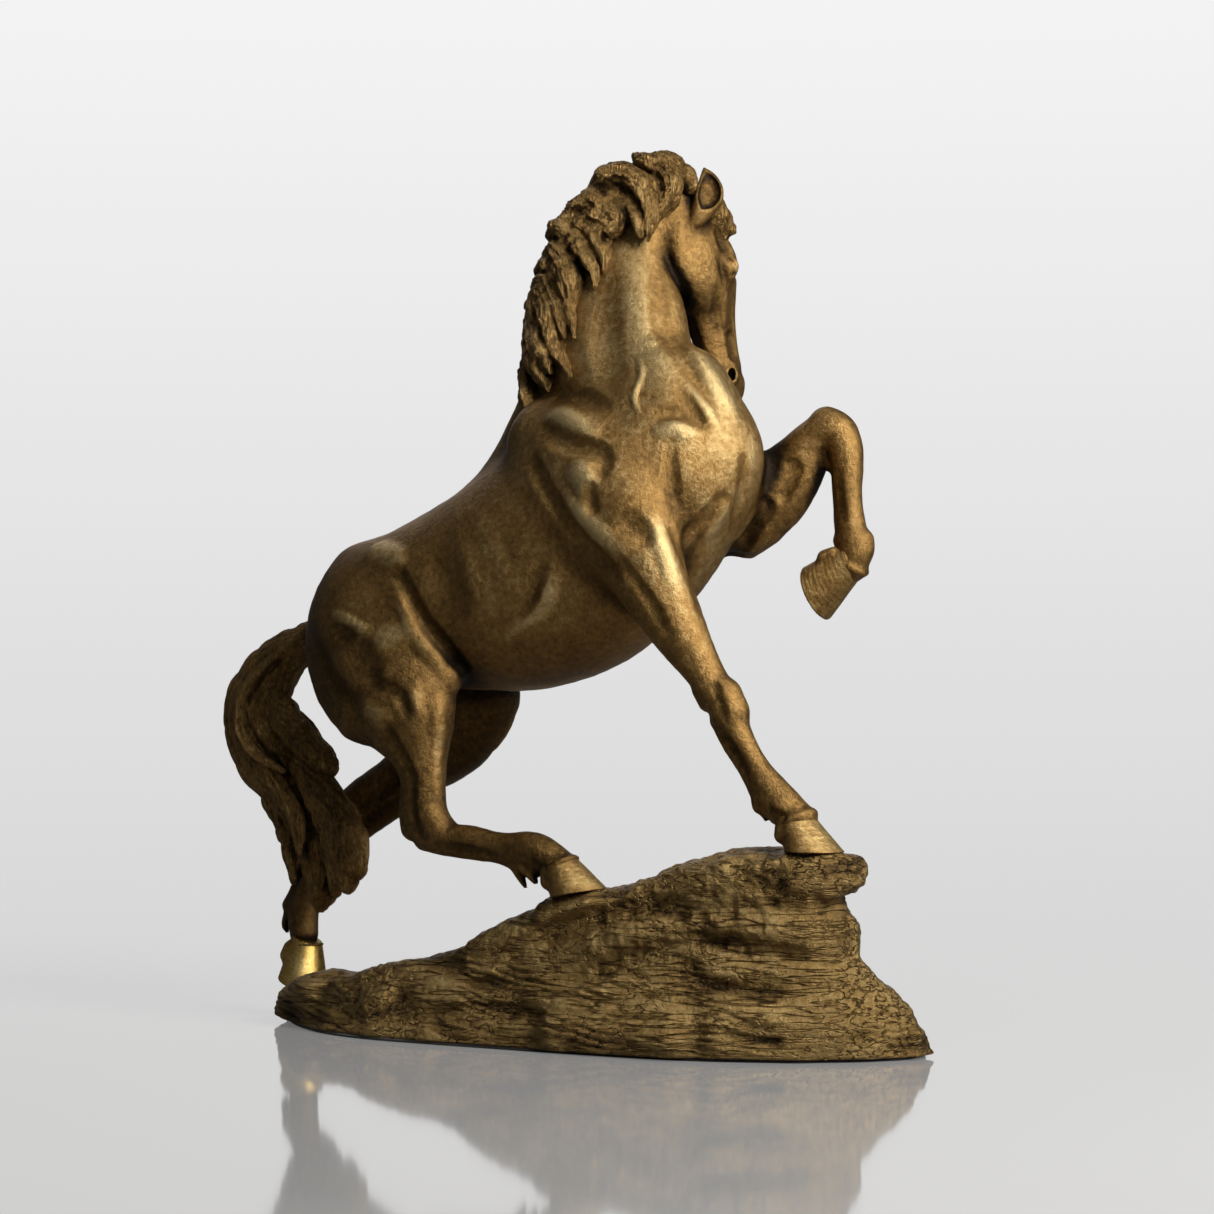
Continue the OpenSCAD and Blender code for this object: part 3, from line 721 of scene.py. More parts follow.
# The mane's locks, each from its root on the crest to its tip: centre, half width, half depth.
RIGHT_SIDE = (0.54, -0.84, 0.0)
MANE = {
    "mane_poll": [
        (14, 11, [
            (54, 27, 422, 4, 3.5), (50, 24, 428.5, 7, 5), (44, 21, 433, 9, 6),
            (37, 19, 434.5, 9, 5), (31, 18, 436, 6, 3.5), (26, 17, 440, 1.5, 1.2)]),
        (13, 12, [
            (36, 21, 433, 6, 4), (45, 18, 430, 6, 5), (51, 14, 424, 5, 4.5), (51, 12, 416, 5, 3.5),
            (48, 9, 410, 3.5, 3), (47, 7, 405, 1.2, 1.2)]),
        (13, 13, [
            (27, 20, 428, 7, 5), (36, 19, 425, 7, 6), (43, 15, 419, 6, 5), (45, 11, 412, 4, 3.5),
            (44, 8, 404, 1.5, 1.5)]),
    ],
    "mane_upper": [
        (15, 21, [
            (3, 10, 416, 3, 3), (9, 12, 424, 6, 5), (15, 13, 429, 8, 5.5), (25, 13, 429, 8, 6),
            (35, 11, 422, 7, 6), (42, 8, 410, 5, 4.5), (43, 5, 400, 3, 2.5), (43, 3, 394, 1, 1)]),
        (13, 22, [
            (6, 11, 415, 5, 4), (14, 12, 419, 6, 5), (24, 11, 418, 6, 5.5), (32, 8, 411, 5, 4.5),
            (37, 4, 403, 4, 3), (40, 1, 396, 1.2, 1.2)]),
        (14, 23, [
            (-6, 9, 410, 4, 3.5), (0, 8, 415, 7, 5), (9, 8, 416, 7, 6), (20, 6, 411, 6, 5.5),
            (26, 3, 405, 4.5, 4), (23, 1, 400, 3.5, 3), (18, 2, 401, 1.2, 1.2)]),
        (13, 27, [
            (0, 10, 412, 4, 3.5), (8, 8, 411, 6, 5), (15, 5, 407, 6, 5), (20, 2, 401, 4, 3.5),
            (22, 0, 394, 1.2, 1.2)]),
        (13, 24, [
            (-13, 9, 407, 3, 3), (-5, 8, 409, 6, 5), (8, 5, 403, 6, 5), (16, 0, 396, 4.5, 4.5),
            (21, -3, 388, 3, 3), (23, -6, 379, 1, 1)]),
    ],
    "mane_middle": [
        (13, 31, [
            (-17, 7, 402, 3, 3), (-9, 6, 404, 7, 5), (3, 3, 396, 7, 6.5), (11, -2, 388, 5, 5),
            (17, -5, 380, 3, 3), (19, -8, 372, 1, 1)]),
        (13, 32, [
            (-18, 5, 391, 3, 3), (-11, 5, 393, 7, 5.5), (-3, 1, 386, 8, 7), (4, -6, 376, 5.5, 5.5),
            (7, -11, 366, 3, 3), (8, -15, 358, 1, 1)]),
        (13, 33, [
            (-19, 3, 386, 4, 3.5), (-13, 2, 385, 6, 5.5), (-5, -1, 378, 7, 6.5),
            (3, -8, 368, 4, 4), (9, -14, 357, 2, 2), (14, -19, 346, 1, 1)]),
        (13, 34, [
            (-23, 2, 376, 3, 3), (-16, 0, 377, 6, 5.5), (-9, -3, 370, 7, 6), (-1, -10, 361, 4, 4),
            (5, -16, 353, 2, 2), (9, -20, 346, 1, 1)]),
    ],
    "mane_lower": [
        (14, 41, [
            (-24, 1, 370, 3, 2.5), (-17, -1, 372, 6, 5.5), (-10, -4, 364, 8, 7),
            (-4, -11, 353, 7, 6), (2, -17, 341, 4.5, 4), (11, -23, 332, 2.5, 2),
            (17, -27, 326, 1, 1)]),
        (13, 42, [
            (-25, 0, 367, 3, 3), (-20, -2, 365, 5, 5), (-16, -5, 355, 6, 6),
            (-11, -12, 345, 6, 5.5), (-3, -18, 337, 5, 4), (2, -22, 329, 1.2, 1.2)]),
        (13, 43, [
            (-24, -1, 360, 3, 3), (-21, -3, 350, 5, 5), (-17, -8, 340, 6, 5.5),
            (-10, -15, 333, 5, 4.5), (-3, -20, 326, 3, 2.5), (2, -24, 320, 1, 1)]),
        (13, 44, [
            (-23, -1, 351, 3, 3), (-21, -3, 340, 5, 5), (-19, -8, 330, 6, 5.5),
            (-16, -14, 321, 4.5, 4.5), (-12, -20, 312, 2.5, 2.5), (-9, -25, 305, 1, 1)]),
        (12, 45, [
            (-21, 0, 338, 3, 3), (-22, -1, 325, 5, 4.5), (-25, -1, 312, 4.5, 4),
            (-30, 0, 301, 3, 3), (-35, 0, 291, 1, 1)]),
    ],
}
# The same locks lie over the far side of the crest.
FAR_MANE = {
    "mane_poll": [
        (12, 15, [
            (24, 24, 431, 6, 4), (28, 32, 425, 6, 5), (24, 36, 414, 5, 4), (20, 37, 403, 3, 3),
            (18, 36, 396, 1, 1)]),
    ],
    "mane_upper": [
        (12, 25, [
            (8, 16, 421, 5, 4), (12, 26, 416, 6, 5), (10, 32, 405, 5, 4), (8, 34, 392, 3, 3),
            (8, 34, 384, 1, 1)]),
        (11, 26, [
            (-3, 12, 411, 5, 4), (2, 22, 405, 6, 5), (2, 29, 393, 5, 4), (0, 31, 380, 3, 3),
            (1, 32, 372, 1, 1)]),
    ],
    "mane_middle": [
        (12, 35, [
            (-13, 8, 398, 5, 4), (-8, 18, 391, 6, 5), (-6, 25, 379, 5, 4), (-5, 29, 366, 3, 3),
            (-3, 31, 358, 1, 1)]),
        (11, 36, [
            (-21, 5, 384, 5, 4), (-16, 14, 377, 6, 5), (-13, 22, 365, 5, 4), (-10, 27, 351, 3, 3),
            (-7, 30, 343, 1, 1)]),
    ],
    "mane_lower": [
        (13, 46, [
            (-23, 3, 368, 5, 4), (-20, 12, 360, 6, 5), (-18, 20, 347, 5, 4), (-15, 26, 334, 3, 3),
            (-12, 29, 326, 1, 1)]),
        (13, 47, [
            (-22, 2, 350, 4, 4), (-21, 9, 341, 5, 5), (-20, 16, 328, 5, 4), (-19, 23, 315, 3, 3),
            (-20, 27, 307, 1, 1)]),
    ],
}
FORELOCK = [
    (13, 51, [
        (47, 34, 421, 6, 4), (54, 38, 418, 7, 5), (59, 43, 411, 7, 5), (61, 47, 405, 5, 4),
        (65, 49, 402, 1.5, 1.5)]),
    (13, 52, [
        (49, 34, 418, 6, 4), (56, 40, 412, 6, 5), (59, 46, 404, 5, 4), (58, 48, 398, 3.5, 3),
        (54, 49, 395, 1.2, 1.2)]),
    (12, 53, [
        (45, 37, 419, 5, 4), (51, 44, 413, 6, 4), (54, 50, 404, 5, 4), (52, 53, 395, 3, 3),
        (49, 54, 389, 1, 1)]),
]
TAIL = {
    "tail_dock": [
        (22, 61, [
            (-152, 0, 203, 7, 8), (-165, 0, 199, 9.5, 9.5), (-177, 0, 194, 11.5, 11),
            (-192, 0, 181, 13, 15), (-201, 0, 163, 14, 18), (-196, 1, 146, 15, 20),
            (-186, 2, 132, 15, 19), (-172, 3, 119, 12, 14), (-166, 4, 106, 8, 10),
            (-163, 4, 96, 3, 3)]),
        (6, 62, [
            (-168, -9, 198, 2, 2), (-184, -12, 187, 2.6, 2.4), (-199, -13, 171, 3, 2.8),
            (-200, -14, 155, 3, 2.8), (-189, -16, 141, 3, 2.8), (-170, -15, 131, 1.5, 1.5)]),
    ],
    "tail_lock_inner": [
        (10, 63, [
            (-184, -5, 167, 5, 6), (-172, -6, 154, 8, 9), (-160, -7, 144, 8, 8),
            (-150, -7, 137, 6, 6), (-145, -7, 131, 3.5, 4)]),
    ],
    "tail_lock_outer": [
        (12, 64, [
            (-166, -6, 134, 6, 7), (-150, -8, 121, 8, 9), (-138, -9, 107, 8, 9),
            (-130, -9, 93, 7, 8), (-127, -9, 82, 5, 5.5), (-126, -9, 78, 3, 3)]),
        (10, 65, [
            (-160, -6, 124, 6, 6), (-147, -8, 108, 7, 8), (-138, -9, 93, 7, 8),
            (-134, -9, 79, 6, 6.5), (-132, -9, 71, 3.5, 3.5)]),
    ],
    "tail_switch": [
        (16, 66, [
            (-186, 1, 138, 12, 15), (-175, 3, 120, 13, 16), (-165, 4, 103, 13, 15),
            (-159, 4, 87, 11, 13), (-158, 3, 71, 8, 9), (-159, 2, 59, 2.5, 3)]),
        (9, 67, [
            (-196, 0, 137, 6, 7), (-189, 0, 119, 6.5, 8), (-180, 0, 103, 6, 7),
            (-175, -1, 90, 5, 6), (-174, -1, 79, 3.6, 4), (-174, -1, 73, 2.2, 2.2)]),
        (7, 68, [
            (-192, -12, 144, 2.5, 3), (-178, -13, 127, 3.5, 4), (-168, -12, 113, 3.5, 4),
            (-162, -11, 100, 3, 3.5), (-163, -10, 88, 1.5, 1.5)]),
        (8, 69, [
            (-150, -2, 100, 6, 7), (-144, -3, 82, 6, 6.5), (-146, -2, 68, 3, 3)]),
    ],
}


def hair_block(locks):
    stations = np.concatenate([np.array(guide, float) for _, _, guide in locks])
    reach = stations[:, 3:].max() + 5
    return Clay(stations[:, :3].min(0) - reach, stations[:, :3].max(0) + reach, HAIR_STEP)


def hair(locks, side, **style):
    clay = hair_block(locks)
    for ridge_count, seed, guide in locks:
        lock(clay, guide, ridge_count, seed, side=side, **style)
    return clay


# Hooves: centre of the sole, centre of the coronet, the sole's way up.
HOOVES = {
    "hoof_front_right": ((154, -30, 97.5), (145, -30, 113.5), (0, 0, 1)),
    "hoof_hind_right": ((28, -37, 74.5), (18.5, -38, 89.5), (-0.19, 0, 0.98)),
    "hoof_hind_left": ((-183, 17, 17), (-182, 19.5, 40), (0.37, 0, 0.93)),
    "hoof_front_left": ((119, 36, 221), (139, 36, 235.5), (0.93, 0, 0.36)),
}
SOLE_R, CORONET_R = 15.2, 9.2
RING_PITCH, RING_DEPTH = 2.3, 0.05
HEEL_SHORT, HOOF_NARROW = 0.86, 0.92
SOLE_DISH = 1.6
SKIN_OVERLAP = 1.5


def hoof(sole, coronet, up):
    """A hoof: wall with growth rings, bulbs of the heel, and a hollowed sole with its frog."""
    sole, coronet, up = np.array(sole, float), np.array(coronet, float), unit(up)
    ahead = unit(np.array([1, 0, 0]) - up[0] * up)
    side = np.cross(up, ahead)
    clay = Clay(np.minimum(sole, coronet) - 22, np.maximum(sole, coronet) + 22, HOOF_STEP)
    x, y, z = clay.offsets(clay.whole(), sole)
    lift = x * up[0] + y * up[1] + z * up[2]
    height = (coronet - sole) @ up
    t = np.clip(lift / height, -0.2, 1.2)
    shift = coronet - sole - height * up
    u = x * ahead[0] + y * ahead[1] + z * ahead[2] - t * (shift @ ahead)
    v = x * side[0] + y * side[1] + z * side[2] - t * (shift @ side)
    rings = RING_DEPTH * np.sin(2 * math.pi * lift / RING_PITCH)
    radius = SOLE_R + (CORONET_R - SOLE_R) * t + rings
    long = radius * np.where(u > 0, 1.0, HEEL_SHORT)
    round_ = np.sqrt((u / long) ** 2 + (v / (HOOF_NARROW * radius)) ** 2)
    wall = (round_ - 1) * 0.95 * radius
    dish = SOLE_DISH * np.clip(1 - round_ * 1.25, 0, 1)
    ends = np.maximum(-lift + dish, lift - height - SKIN_OVERLAP)
    clay.field[...] = np.maximum(wall, ends)
    heel = -0.55 * SOLE_R
    for s in (-1, 1):
        bulb = sole + 0.62 * (coronet - sole) + (heel + 0.5) * ahead + 4.2 * s * side
        clay.add([tuple(bulb - 2 * up) + (4.3,), tuple(bulb + 2.5 * up) + (3.8,)], blend=2.5)
    frog = [tuple(sole + a * ahead + 0.2 * up) + (r,)
            for a, r in ((heel, 2.6), (0, 1.8), (5, 0.6))]
    clay.add(frog, blend=1)
    return clay


# Rock sections: x, foot centre y, foot half width, top centre y, top half width, height.
ROCK = np.array([
    (-191, 17, 3, 17, 2, 6), (-182, 14, 13, 15, 10, 11), (-166, 12, 28, 14, 20, 14),
    (-148, 8, 39, 8, 30, 19), (-120, 2, 50, 2, 40, 27), (-85, 0, 58, 0, 46, 36),
    (-45, 0, 60, 0, 46, 45), (-15, 0, 60, 0, 46, 60), (18, 0, 60, 0, 45, 72),
    (55, 0, 59, -2, 43, 79), (90, 1, 57, -4, 40, 88), (115, 3, 52, -6, 38, 94),
    (148, 7, 42, -16, 25, 88), (157, 9, 36, -22, 17, 82), (164, 11, 32, -14, 14, 50),
    (172, 12, 26, -2, 14, 35), (179, 14, 19, 8, 11, 23), (186, 16, 10, 14, 6, 13)], float)
FELT_T = 1.5
ROCK_NOSE_X = 189
# Softness of the edge between the rock's sides and its top.
ROCK_EDGE = 8
ROCK_STROKES = [
    # ledge under the front hoof
    (6, [(96, -6, 80, 40, 13), (112, -6, 84, 39, 13), (130, -11, 86.5, 34, 11.5),
         (146, -18, 87.5, 26, 10.5), (155, -25, 87, 17, 10.5), (162, -31, 86, 9, 10)]),
    # seats of the two hooves on its front edge
    (4, [(142, -30, 90, 13, 8.2), (164, -31, 90, 10, 8.2)]),
    (5, [(14, -36, 65, 13, 7.2), (40, -36, 70, 13, 7.2)]),
    # shelf below it
    (6, [(114, -8, 60, 39, 9), (131, -12, 60, 32, 9), (143, -18, 60, 22, 8),
         (145, -22, 59, 11, 7)]),
    (6, [(128, -12, 71, 32, 9), (143, -18, 71, 22, 8), (151, -24, 71, 10, 7)]),
    # square lip of the ledge
    (3, [(140, -41, 92, 5), (158, -37, 92.5, 5), (165, -30, 92.5, 5), (167, -20, 92, 5),
         (161, -4, 92, 5)]),
    (3, [(150, -40, 84, 5), (162, -35, 83, 5), (168, -27, 83, 5), (168, -17, 83, 5)]),
    # lobe in front of the rear hoof, and the flared foot
    (8, [(-172, -4, 8, 10, 7), (-158, -14, 13, 12, 9), (-138, -20, 18, 16, 11)]),
    (10, [(110, -34, 14, 20, 14), (142, -22, 20, 18, 18), (162, -2, 16, 18, 15),
          (172, 14, 12, 12, 10)]),
    (8, [(30, -50, 10, 14, 12), (90, -48, 10, 14, 12)]),
]
ROCK_PRESSES = [
    # under the ledge, round its end
    (6, -2.2, [(112, -50, 71), (136, -46, 71), (152, -38, 71), (160, -20, 71), (154, 4, 71),
               (140, 22, 72)]),
    (7, -2.8, [(120, -44, 49), (140, -38, 49), (156, -24, 48), (162, -4, 48), (152, 16, 48)]),
    # long grooves down the front
    (8, -4, [(100, -50, 84), (70, -50, 70), (40, -52, 62), (6, -53, 50), (-24, -54, 40)]),
    (7, -3, [(150, -40, 50), (110, -46, 56), (70, -52, 48), (20, -56, 30)]),
    (6, -2.5, [(60, -55, 26), (20, -57, 20), (-30, -58, 18), (-70, -56, 16)]),
    (8, 2.5, [(96, -50, 60), (60, -53, 58), (20, -54, 44)]),
    (9, -3, [(-30, -50, 44), (-60, -50, 34), (-90, -48, 28)]),
    (7, -3, [(-130, -38, 20), (-110, -44, 14), (-92, -50, 8)]),
    # the back
    (9, -4, [(130, 40, 60), (90, 48, 62), (40, 52, 48), (0, 54, 34)]),
    (8, -4, [(60, 54, 30), (10, 56, 24), (-50, 54, 20)]),
    (8, 3, [(100, 46, 40), (50, 52, 38), (0, 54, 22)]),
]


def rock():
    """The rock's lump of clay, flat at the felt."""
    clay = Clay((-200, -72, -4), (196, 70, 106), ROCK_STEP)
    x, y, z = clay.coordinates(clay.whole())
    at = {i: np.interp(x, ROCK[:, 0], ROCK[:, i]).astype(np.float32) for i in range(1, 6)}
    up = np.clip((z - FELT_T) / at[5], 0, 1.05)
    share = np.interp(up, (0, 0.5, 0.88, 1.05), (0, 0.8, 1, 1.35)).astype(np.float32)
    middle = at[1] + (at[3] - at[1]) * share
    half = at[2] + (at[4] - at[2]) * share
    crown = at[5] + FELT_T - 0.0012 * (y - at[3]) ** 2
    side = (np.abs(y - middle) - half) * 0.85
    top = (z - crown) * 0.9
    blend = np.clip(0.5 + 0.5 * (side - top) / ROCK_EDGE, 0, 1)
    body = top + (side - top) * blend + ROCK_EDGE * blend * (1 - blend)
    clay.field[...] = np.maximum(body, np.maximum(ROCK[0, 0] - x, x - ROCK_NOSE_X))
    for width, stations in ROCK_STROKES:
        clay.add(stations, blend=width)
    clay.settle(2 if ROCK_STEP < 1.5 else 1)
    for radius, height, path in ROCK_PRESSES:
        clay.brush(path, radius, height)
    clay.field[...] = np.maximum(clay.field, FELT_T - z)
    return clay


STROKE_PITCH = 3.4


def rock_texture(points, normals):
    """How far the modeller's tool pushed each point of the rock out or in."""
    steep = np.clip(1.5 - 1.6 * np.abs(normals[:, 2]), 0, 1)
    lean = (points @ np.array([0.16, 0.0, 1.0]) + 2.0 * grain(points, 17, 3)
            + 0.7 * grain(points, 6, 9))
    shift = 10 * grain(points, (34, 34, 5), 13)
    along = np.column_stack([points[:, 0] + 0.4 * points[:, 1] + shift, points[:, 1], lean])
    bent = points + 9 * np.column_stack([grain(points, 23, seed) for seed in (21, 22, 23)])
    big = 1.7 * grain(bent, (38, 38, 12), 1) + 0.9 * grain(bent, (16, 16, 6), 2)
    scored = np.clip(grain(bent, (24, 24, 9), 4) + 0.65, 0, 1)
    comb = (np.abs(np.sin(math.pi * lean / STROKE_PITCH)) - 0.64) * scored
    strokes = 1.1 * grain(along, (24, 14, 3.6), 5) + 1.3 * comb
    chips = np.abs(grain(points, (5.2, 5.2, 4.2), 6))
    dabs = 1.3 * (0.32 - chips) + 0.9 * grain(points, (7, 7, 6), 7) + 0.5 * grain(points, 2.8, 12)
    zone = np.clip(0.45 + 1.1 * grain(bent, (45, 45, 26), 8) + 0.012 * (points[:, 2] - 50), 0, 1)
    on_sides = (1 - zone) * strokes + zone * dabs
    return big + steep * on_sides + (1 - steep) * (0.7 * dabs + 0.3 * strokes)


# ---------------------------------------------------------------- meshes
def solid(name, points, faces, normals=None, shade=None):
    """A mesh piece from points in mm, with its normals and recess values."""
    mesh = bpy.data.meshes.new(name)
    if isinstance(faces, list):
        sizes = np.array([len(f) for f in faces])
        flat = np.concatenate([np.asarray(f) for f in faces])
    else:
        sizes, flat = np.full(len(faces), faces.shape[1]), faces.ravel()
    mesh.vertices.add(len(points))
    mesh.vertices.foreach_set("co", (np.asarray(points) * MM).astype(np.float32).ravel())
    mesh.loops.add(len(flat))
    mesh.loops.foreach_set("vertex_index", flat.astype(np.int32))
    mesh.polygons.add(len(sizes))
    mesh.polygons.foreach_set("loop_start", (np.cumsum(sizes) - sizes).astype(np.int32))
    mesh.polygons.foreach_set("use_smooth", np.ones(len(sizes), bool))
    mesh.update(calc_edges=True)
    if shade is not None:
        layer = mesh.attributes.new("recess", "FLOAT", "POINT")
        layer.data.foreach_set("value", np.asarray(shade, np.float32))
    if normals is not None:
        mesh.normals_split_custom_set_from_vertices(np.asarray(normals, np.float32))
    piece = bpy.data.objects.new(name, mesh)
    bpy.context.scene.collection.objects.link(piece)
    return piece


def edge_loops(quads):
    """Closed loops of points round the holes in a patch of quads."""
    a, b = quads.ravel(), np.roll(quads, -1, 1).ravel()
    big = int(quads.max()) + 1
    lone = ~np.isin(a * big + b, b * big + a)
    after = {}
    for start, end in zip(a[lone].tolist(), b[lone].tolist()):
        after.setdefault(start, []).append(end)
    loops = []
    while after:
        first = next(iter(after))
        loop, here = [], first
        while here in after:
            loop.append(here)
            following = after[here].pop()
            if not after[here]:
                del after[here]
            here = following
            if here == first:
                break
        loops.append(loop)
    return loops


def patch(name, points, quads, normals, shade, depth):
    """The piece made of some of a skin's quads, with its openings closed."""
    used, index = np.unique(quads, return_inverse=True)
    quads = index.reshape(-1, 4)
    points, normals, shade = points[used], normals[used], shade[used]
    tips, caps = [], []
    for loop in edge_loops(quads):
        if len(loop) < 3:
            continue
        tip = len(points) + len(tips)
        tips.append(points[loop].mean(0) - depth * unit(normals[loop].mean(0) + 1e-6))
        caps += [(loop[(i + 1) % len(loop)], loop[i], tip) for i in range(len(loop))]
    if tips:
        points = np.vstack([points, tips])
        normals = np.vstack([normals, np.tile((0, 0, 1), (len(tips), 1))])
        shade = np.append(shade, np.ones(len(tips)))
    return solid(name, points, list(quads) + caps, normals, shade)


# ---------------------------------------------------------------- materials
def set_stops(bar, stops):
    while len(bar.elements) < len(stops):
        bar.elements.new(0.5)
    for element, (spot, colour) in zip(bar.elements, stops):
        element.position, element.color = spot, (*colour, 1)


class Graph:
    """The node tree of a material or of the world, built a node at a time."""

    def __init__(self, owner):
        owner.use_nodes = True
        self.owner, self.tree = owner, owner.node_tree
        self.shader = self.tree.nodes.get("Principled BSDF")
        self.coordinates = self.add("ShaderNodeTexCoord").outputs
        self.place = self.coordinates["Object"]

    def add(self, kind, **inputs):
        node = self.tree.nodes.new(kind)
        for key, value in inputs.items():
            if hasattr(node, key):
                setattr(node, key, value)
            else:
                self.feed(node.inputs[key.replace("_", " ")], value)
        return node

    def feed(self, socket, value):
        if isinstance(value, bpy.types.NodeSocket):
            self.tree.links.new(value, socket)
        else:
            socket.default_value = value

    def feed_all(self, node, *values):
        """Feed a node's inputs in their order, and give its first output."""
        for socket, value in zip(node.inputs, values):
            self.feed(socket, value)
        return node.outputs[0]

    def noise(self, scale, detail=4, roughness=0.6, stretch=None):
        place = self.place
        if stretch:
            place = self.add("ShaderNodeMapping", Vector=place, Scale=stretch).outputs[0]
        node = self.add("ShaderNodeTexNoise", Vector=place, Scale=scale, Detail=detail,
                        Roughness=roughness)
        return node.outputs["Fac"]

    def math(self, operation, *values, clamp=False):
        node = self.add("ShaderNodeMath", operation=operation, use_clamp=clamp)
        return self.feed_all(node, *values)

    def swing(self, value, weight, middle=0.5):
        """How far a value is from its middle, times a weight."""
        return self.math("MULTIPLY", self.math("SUBTRACT", value, middle), weight)

    def ramp(self, value, stops):
        node = self.add("ShaderNodeValToRGB")
        set_stops(node.color_ramp, stops)
        return self.feed_all(node, value)

    def remap(self, value, low, high, to_low, to_high):
        return self.feed_all(self.add("ShaderNodeMapRange"), value, low, high, to_low, to_high)

    def bump(self, height, strength, depth, under=None):
        node = self.add("ShaderNodeBump", Strength=strength, Distance=depth, Height=height)
        if under is not None:
            self.feed(node.inputs["Normal"], under)
        return node.outputs["Normal"]

    def mix(self, share, one, two):
        return self.feed_all(self.add("ShaderNodeMixShader"), share, one, two)

    def surface(self, **inputs):
        """Feed the Principled shader's inputs by name, and give the finished material."""
        for key, value in inputs.items():
            self.feed(self.shader.inputs[key.replace("_", " ")], value)
        return self.owner


def material_graph(name):
    return Graph(bpy.data.materials.new(name))


def recess_of(graph):
    return graph.add("ShaderNodeAttribute", attribute_name="recess").outputs["Fac"]


def painted_light_by_place(graph):
    """Painted light by place: most on the neck and chest, least on the hind end; the horse's left
    side gets painted shade.
    """
    place = graph.add("ShaderNodeSeparateXYZ", Vector=graph.place)
    reach = graph.math("ADD", place.outputs["Z"], graph.math("MULTIPLY", place.outputs["X"], 0.55))
    # painted shade over the horse's left side
    left = graph.remap(place.outputs["Y"], 0.008, 0.034, 0.0, 0.9)
    return graph.math("SUBTRACT", graph.remap(reach, 0.15, 0.33, -0.75, 0.6), left)


# A tone's colours run from the recesses, darkened by painted shade and patina, to the places that
# painted light makes lighter; MEAN is its usual tone.
TONE_SPOTS = (0.0, 0.32, 0.62, 0.95)
MEAN = 0.62
METAL = 0.84
PIT_DEPTH = 0.0003
STRAND_DEPTH = 0.0016


def bronze(name, colours, shine=(0.36, 0.52), mottle=0.55, crease_shade_and_patina=1.0, painted_light_share=0.2, strands=0.0):
    """Patinated bronze: dark brown in the recesses by painted shade with the patina gathered there;
    painted light makes the neck and chest lighter, the hind end and the left side darker.
    """
    g = material_graph(name)
    hollow = recess_of(g)
    cloud = g.noise(55, 3, 0.6)
    fleck = g.noise(330, 6, 0.72)
    speck = g.noise(1100, 3, 0.65)
    tone = g.math("ADD", g.swing(cloud, mottle * 0.7), g.swing(fleck, mottle * 1.5))
    # Painted light: lighter on the neck and chest, darker on the hind end and the left side.
    tone = g.math("ADD", tone, g.math("ADD", MEAN, g.math("MULTIPLY", painted_light_by_place(g), painted_light_share)))
    # Painted shade in the recesses, with the patina gathered there.
    tone = g.math("SUBTRACT", tone, g.math("MULTIPLY", hollow, crease_shade_and_patina), clamp=True)
    relief = g.bump(fleck, 0.7, 4 * PIT_DEPTH, g.bump(speck, 0.7, PIT_DEPTH))
    if strands:
        wave = g.noise(620, 3, 0.6, stretch=(1, 1, 0.09))
        apart = g.math("ABSOLUTE", g.math("SUBTRACT", wave, 0.5))
        groove = g.remap(apart, 0.0, 0.07, 1.0, 0.0)
        # Painted shade in the strand grooves, with patina in them.
        tone = g.math("SUBTRACT", tone, g.math("MULTIPLY", groove, 0.17 * strands), clamp=True)
        combed = g.math("SUBTRACT", wave, g.math("MULTIPLY", groove, 0.4))
        relief = g.bump(combed, 0.9, STRAND_DEPTH * strands, relief)
    rough = g.remap(g.math("ADD", fleck, g.math("MULTIPLY", hollow, 0.6)), 0.3, 0.9, *shine)
    return g.surface(Base_Color=g.ramp(tone, list(zip(TONE_SPOTS, colours))), Metallic=METAL,
                     Roughness=rough, Normal=relief)


def rock_bronze():
    """The rock's bronze: scored and dabbed by the tool, dark in the scores and the recesses by
    painted shade with the patina there.
    """
    g = material_graph("rock_bronze")
    hollow = recess_of(g)
    cloud = g.noise(34, 4, 0.6)
    fleck = g.noise(380, 6, 0.72)

    def scores(size, stretch, width):
        """Plateaus with thin grooves between them."""
        apart = g.math("SUBTRACT", g.noise(size, 2, 0.5, stretch=stretch), 0.5)
        return g.remap(g.math("ABSOLUTE", apart), 0.0, width, 0.0, 1.0)

    long = scores(330, (0.09, 0.09, 1.0), 0.045)
    short = scores(300, (0.40, 0.40, 1.0), 0.04)
    where = g.remap(g.noise(30, 2, 0.5), 0.45, 0.56, 0.0, 1.0)
    lines = g.math("ADD", g.math("MULTIPLY", long, where),
                   g.math("MULTIPLY", short, g.math("SUBTRACT", 1.0, where)))
    # the scores darker: painted shade in them, with patina
    tone = g.math("ADD", g.swing(cloud, 0.22), g.swing(lines, 0.34, middle=0.8))
    tone = g.math("ADD", g.math("ADD", tone, MEAN), g.swing(fleck, 0.8))
    # painted shade in the recesses, with the patina there
    tone = g.math("SUBTRACT", tone, g.math("MULTIPLY", hollow, 0.8), clamp=True)
    colours = [(0.0, (0.020, 0.012, 0.004)), (0.32, (0.10, 0.059, 0.018)),
               (0.62, (0.245, 0.152, 0.048)), (0.97, (0.50, 0.37, 0.155))]
    return g.surface(Base_Color=g.ramp(tone, colours), Metallic=0.75,
                     Roughness=g.remap(fleck, 0.3, 0.8, 0.34, 0.52),
                     Normal=g.bump(lines, 1.0, 0.0012, g.bump(fleck, 0.9, 0.0016)))


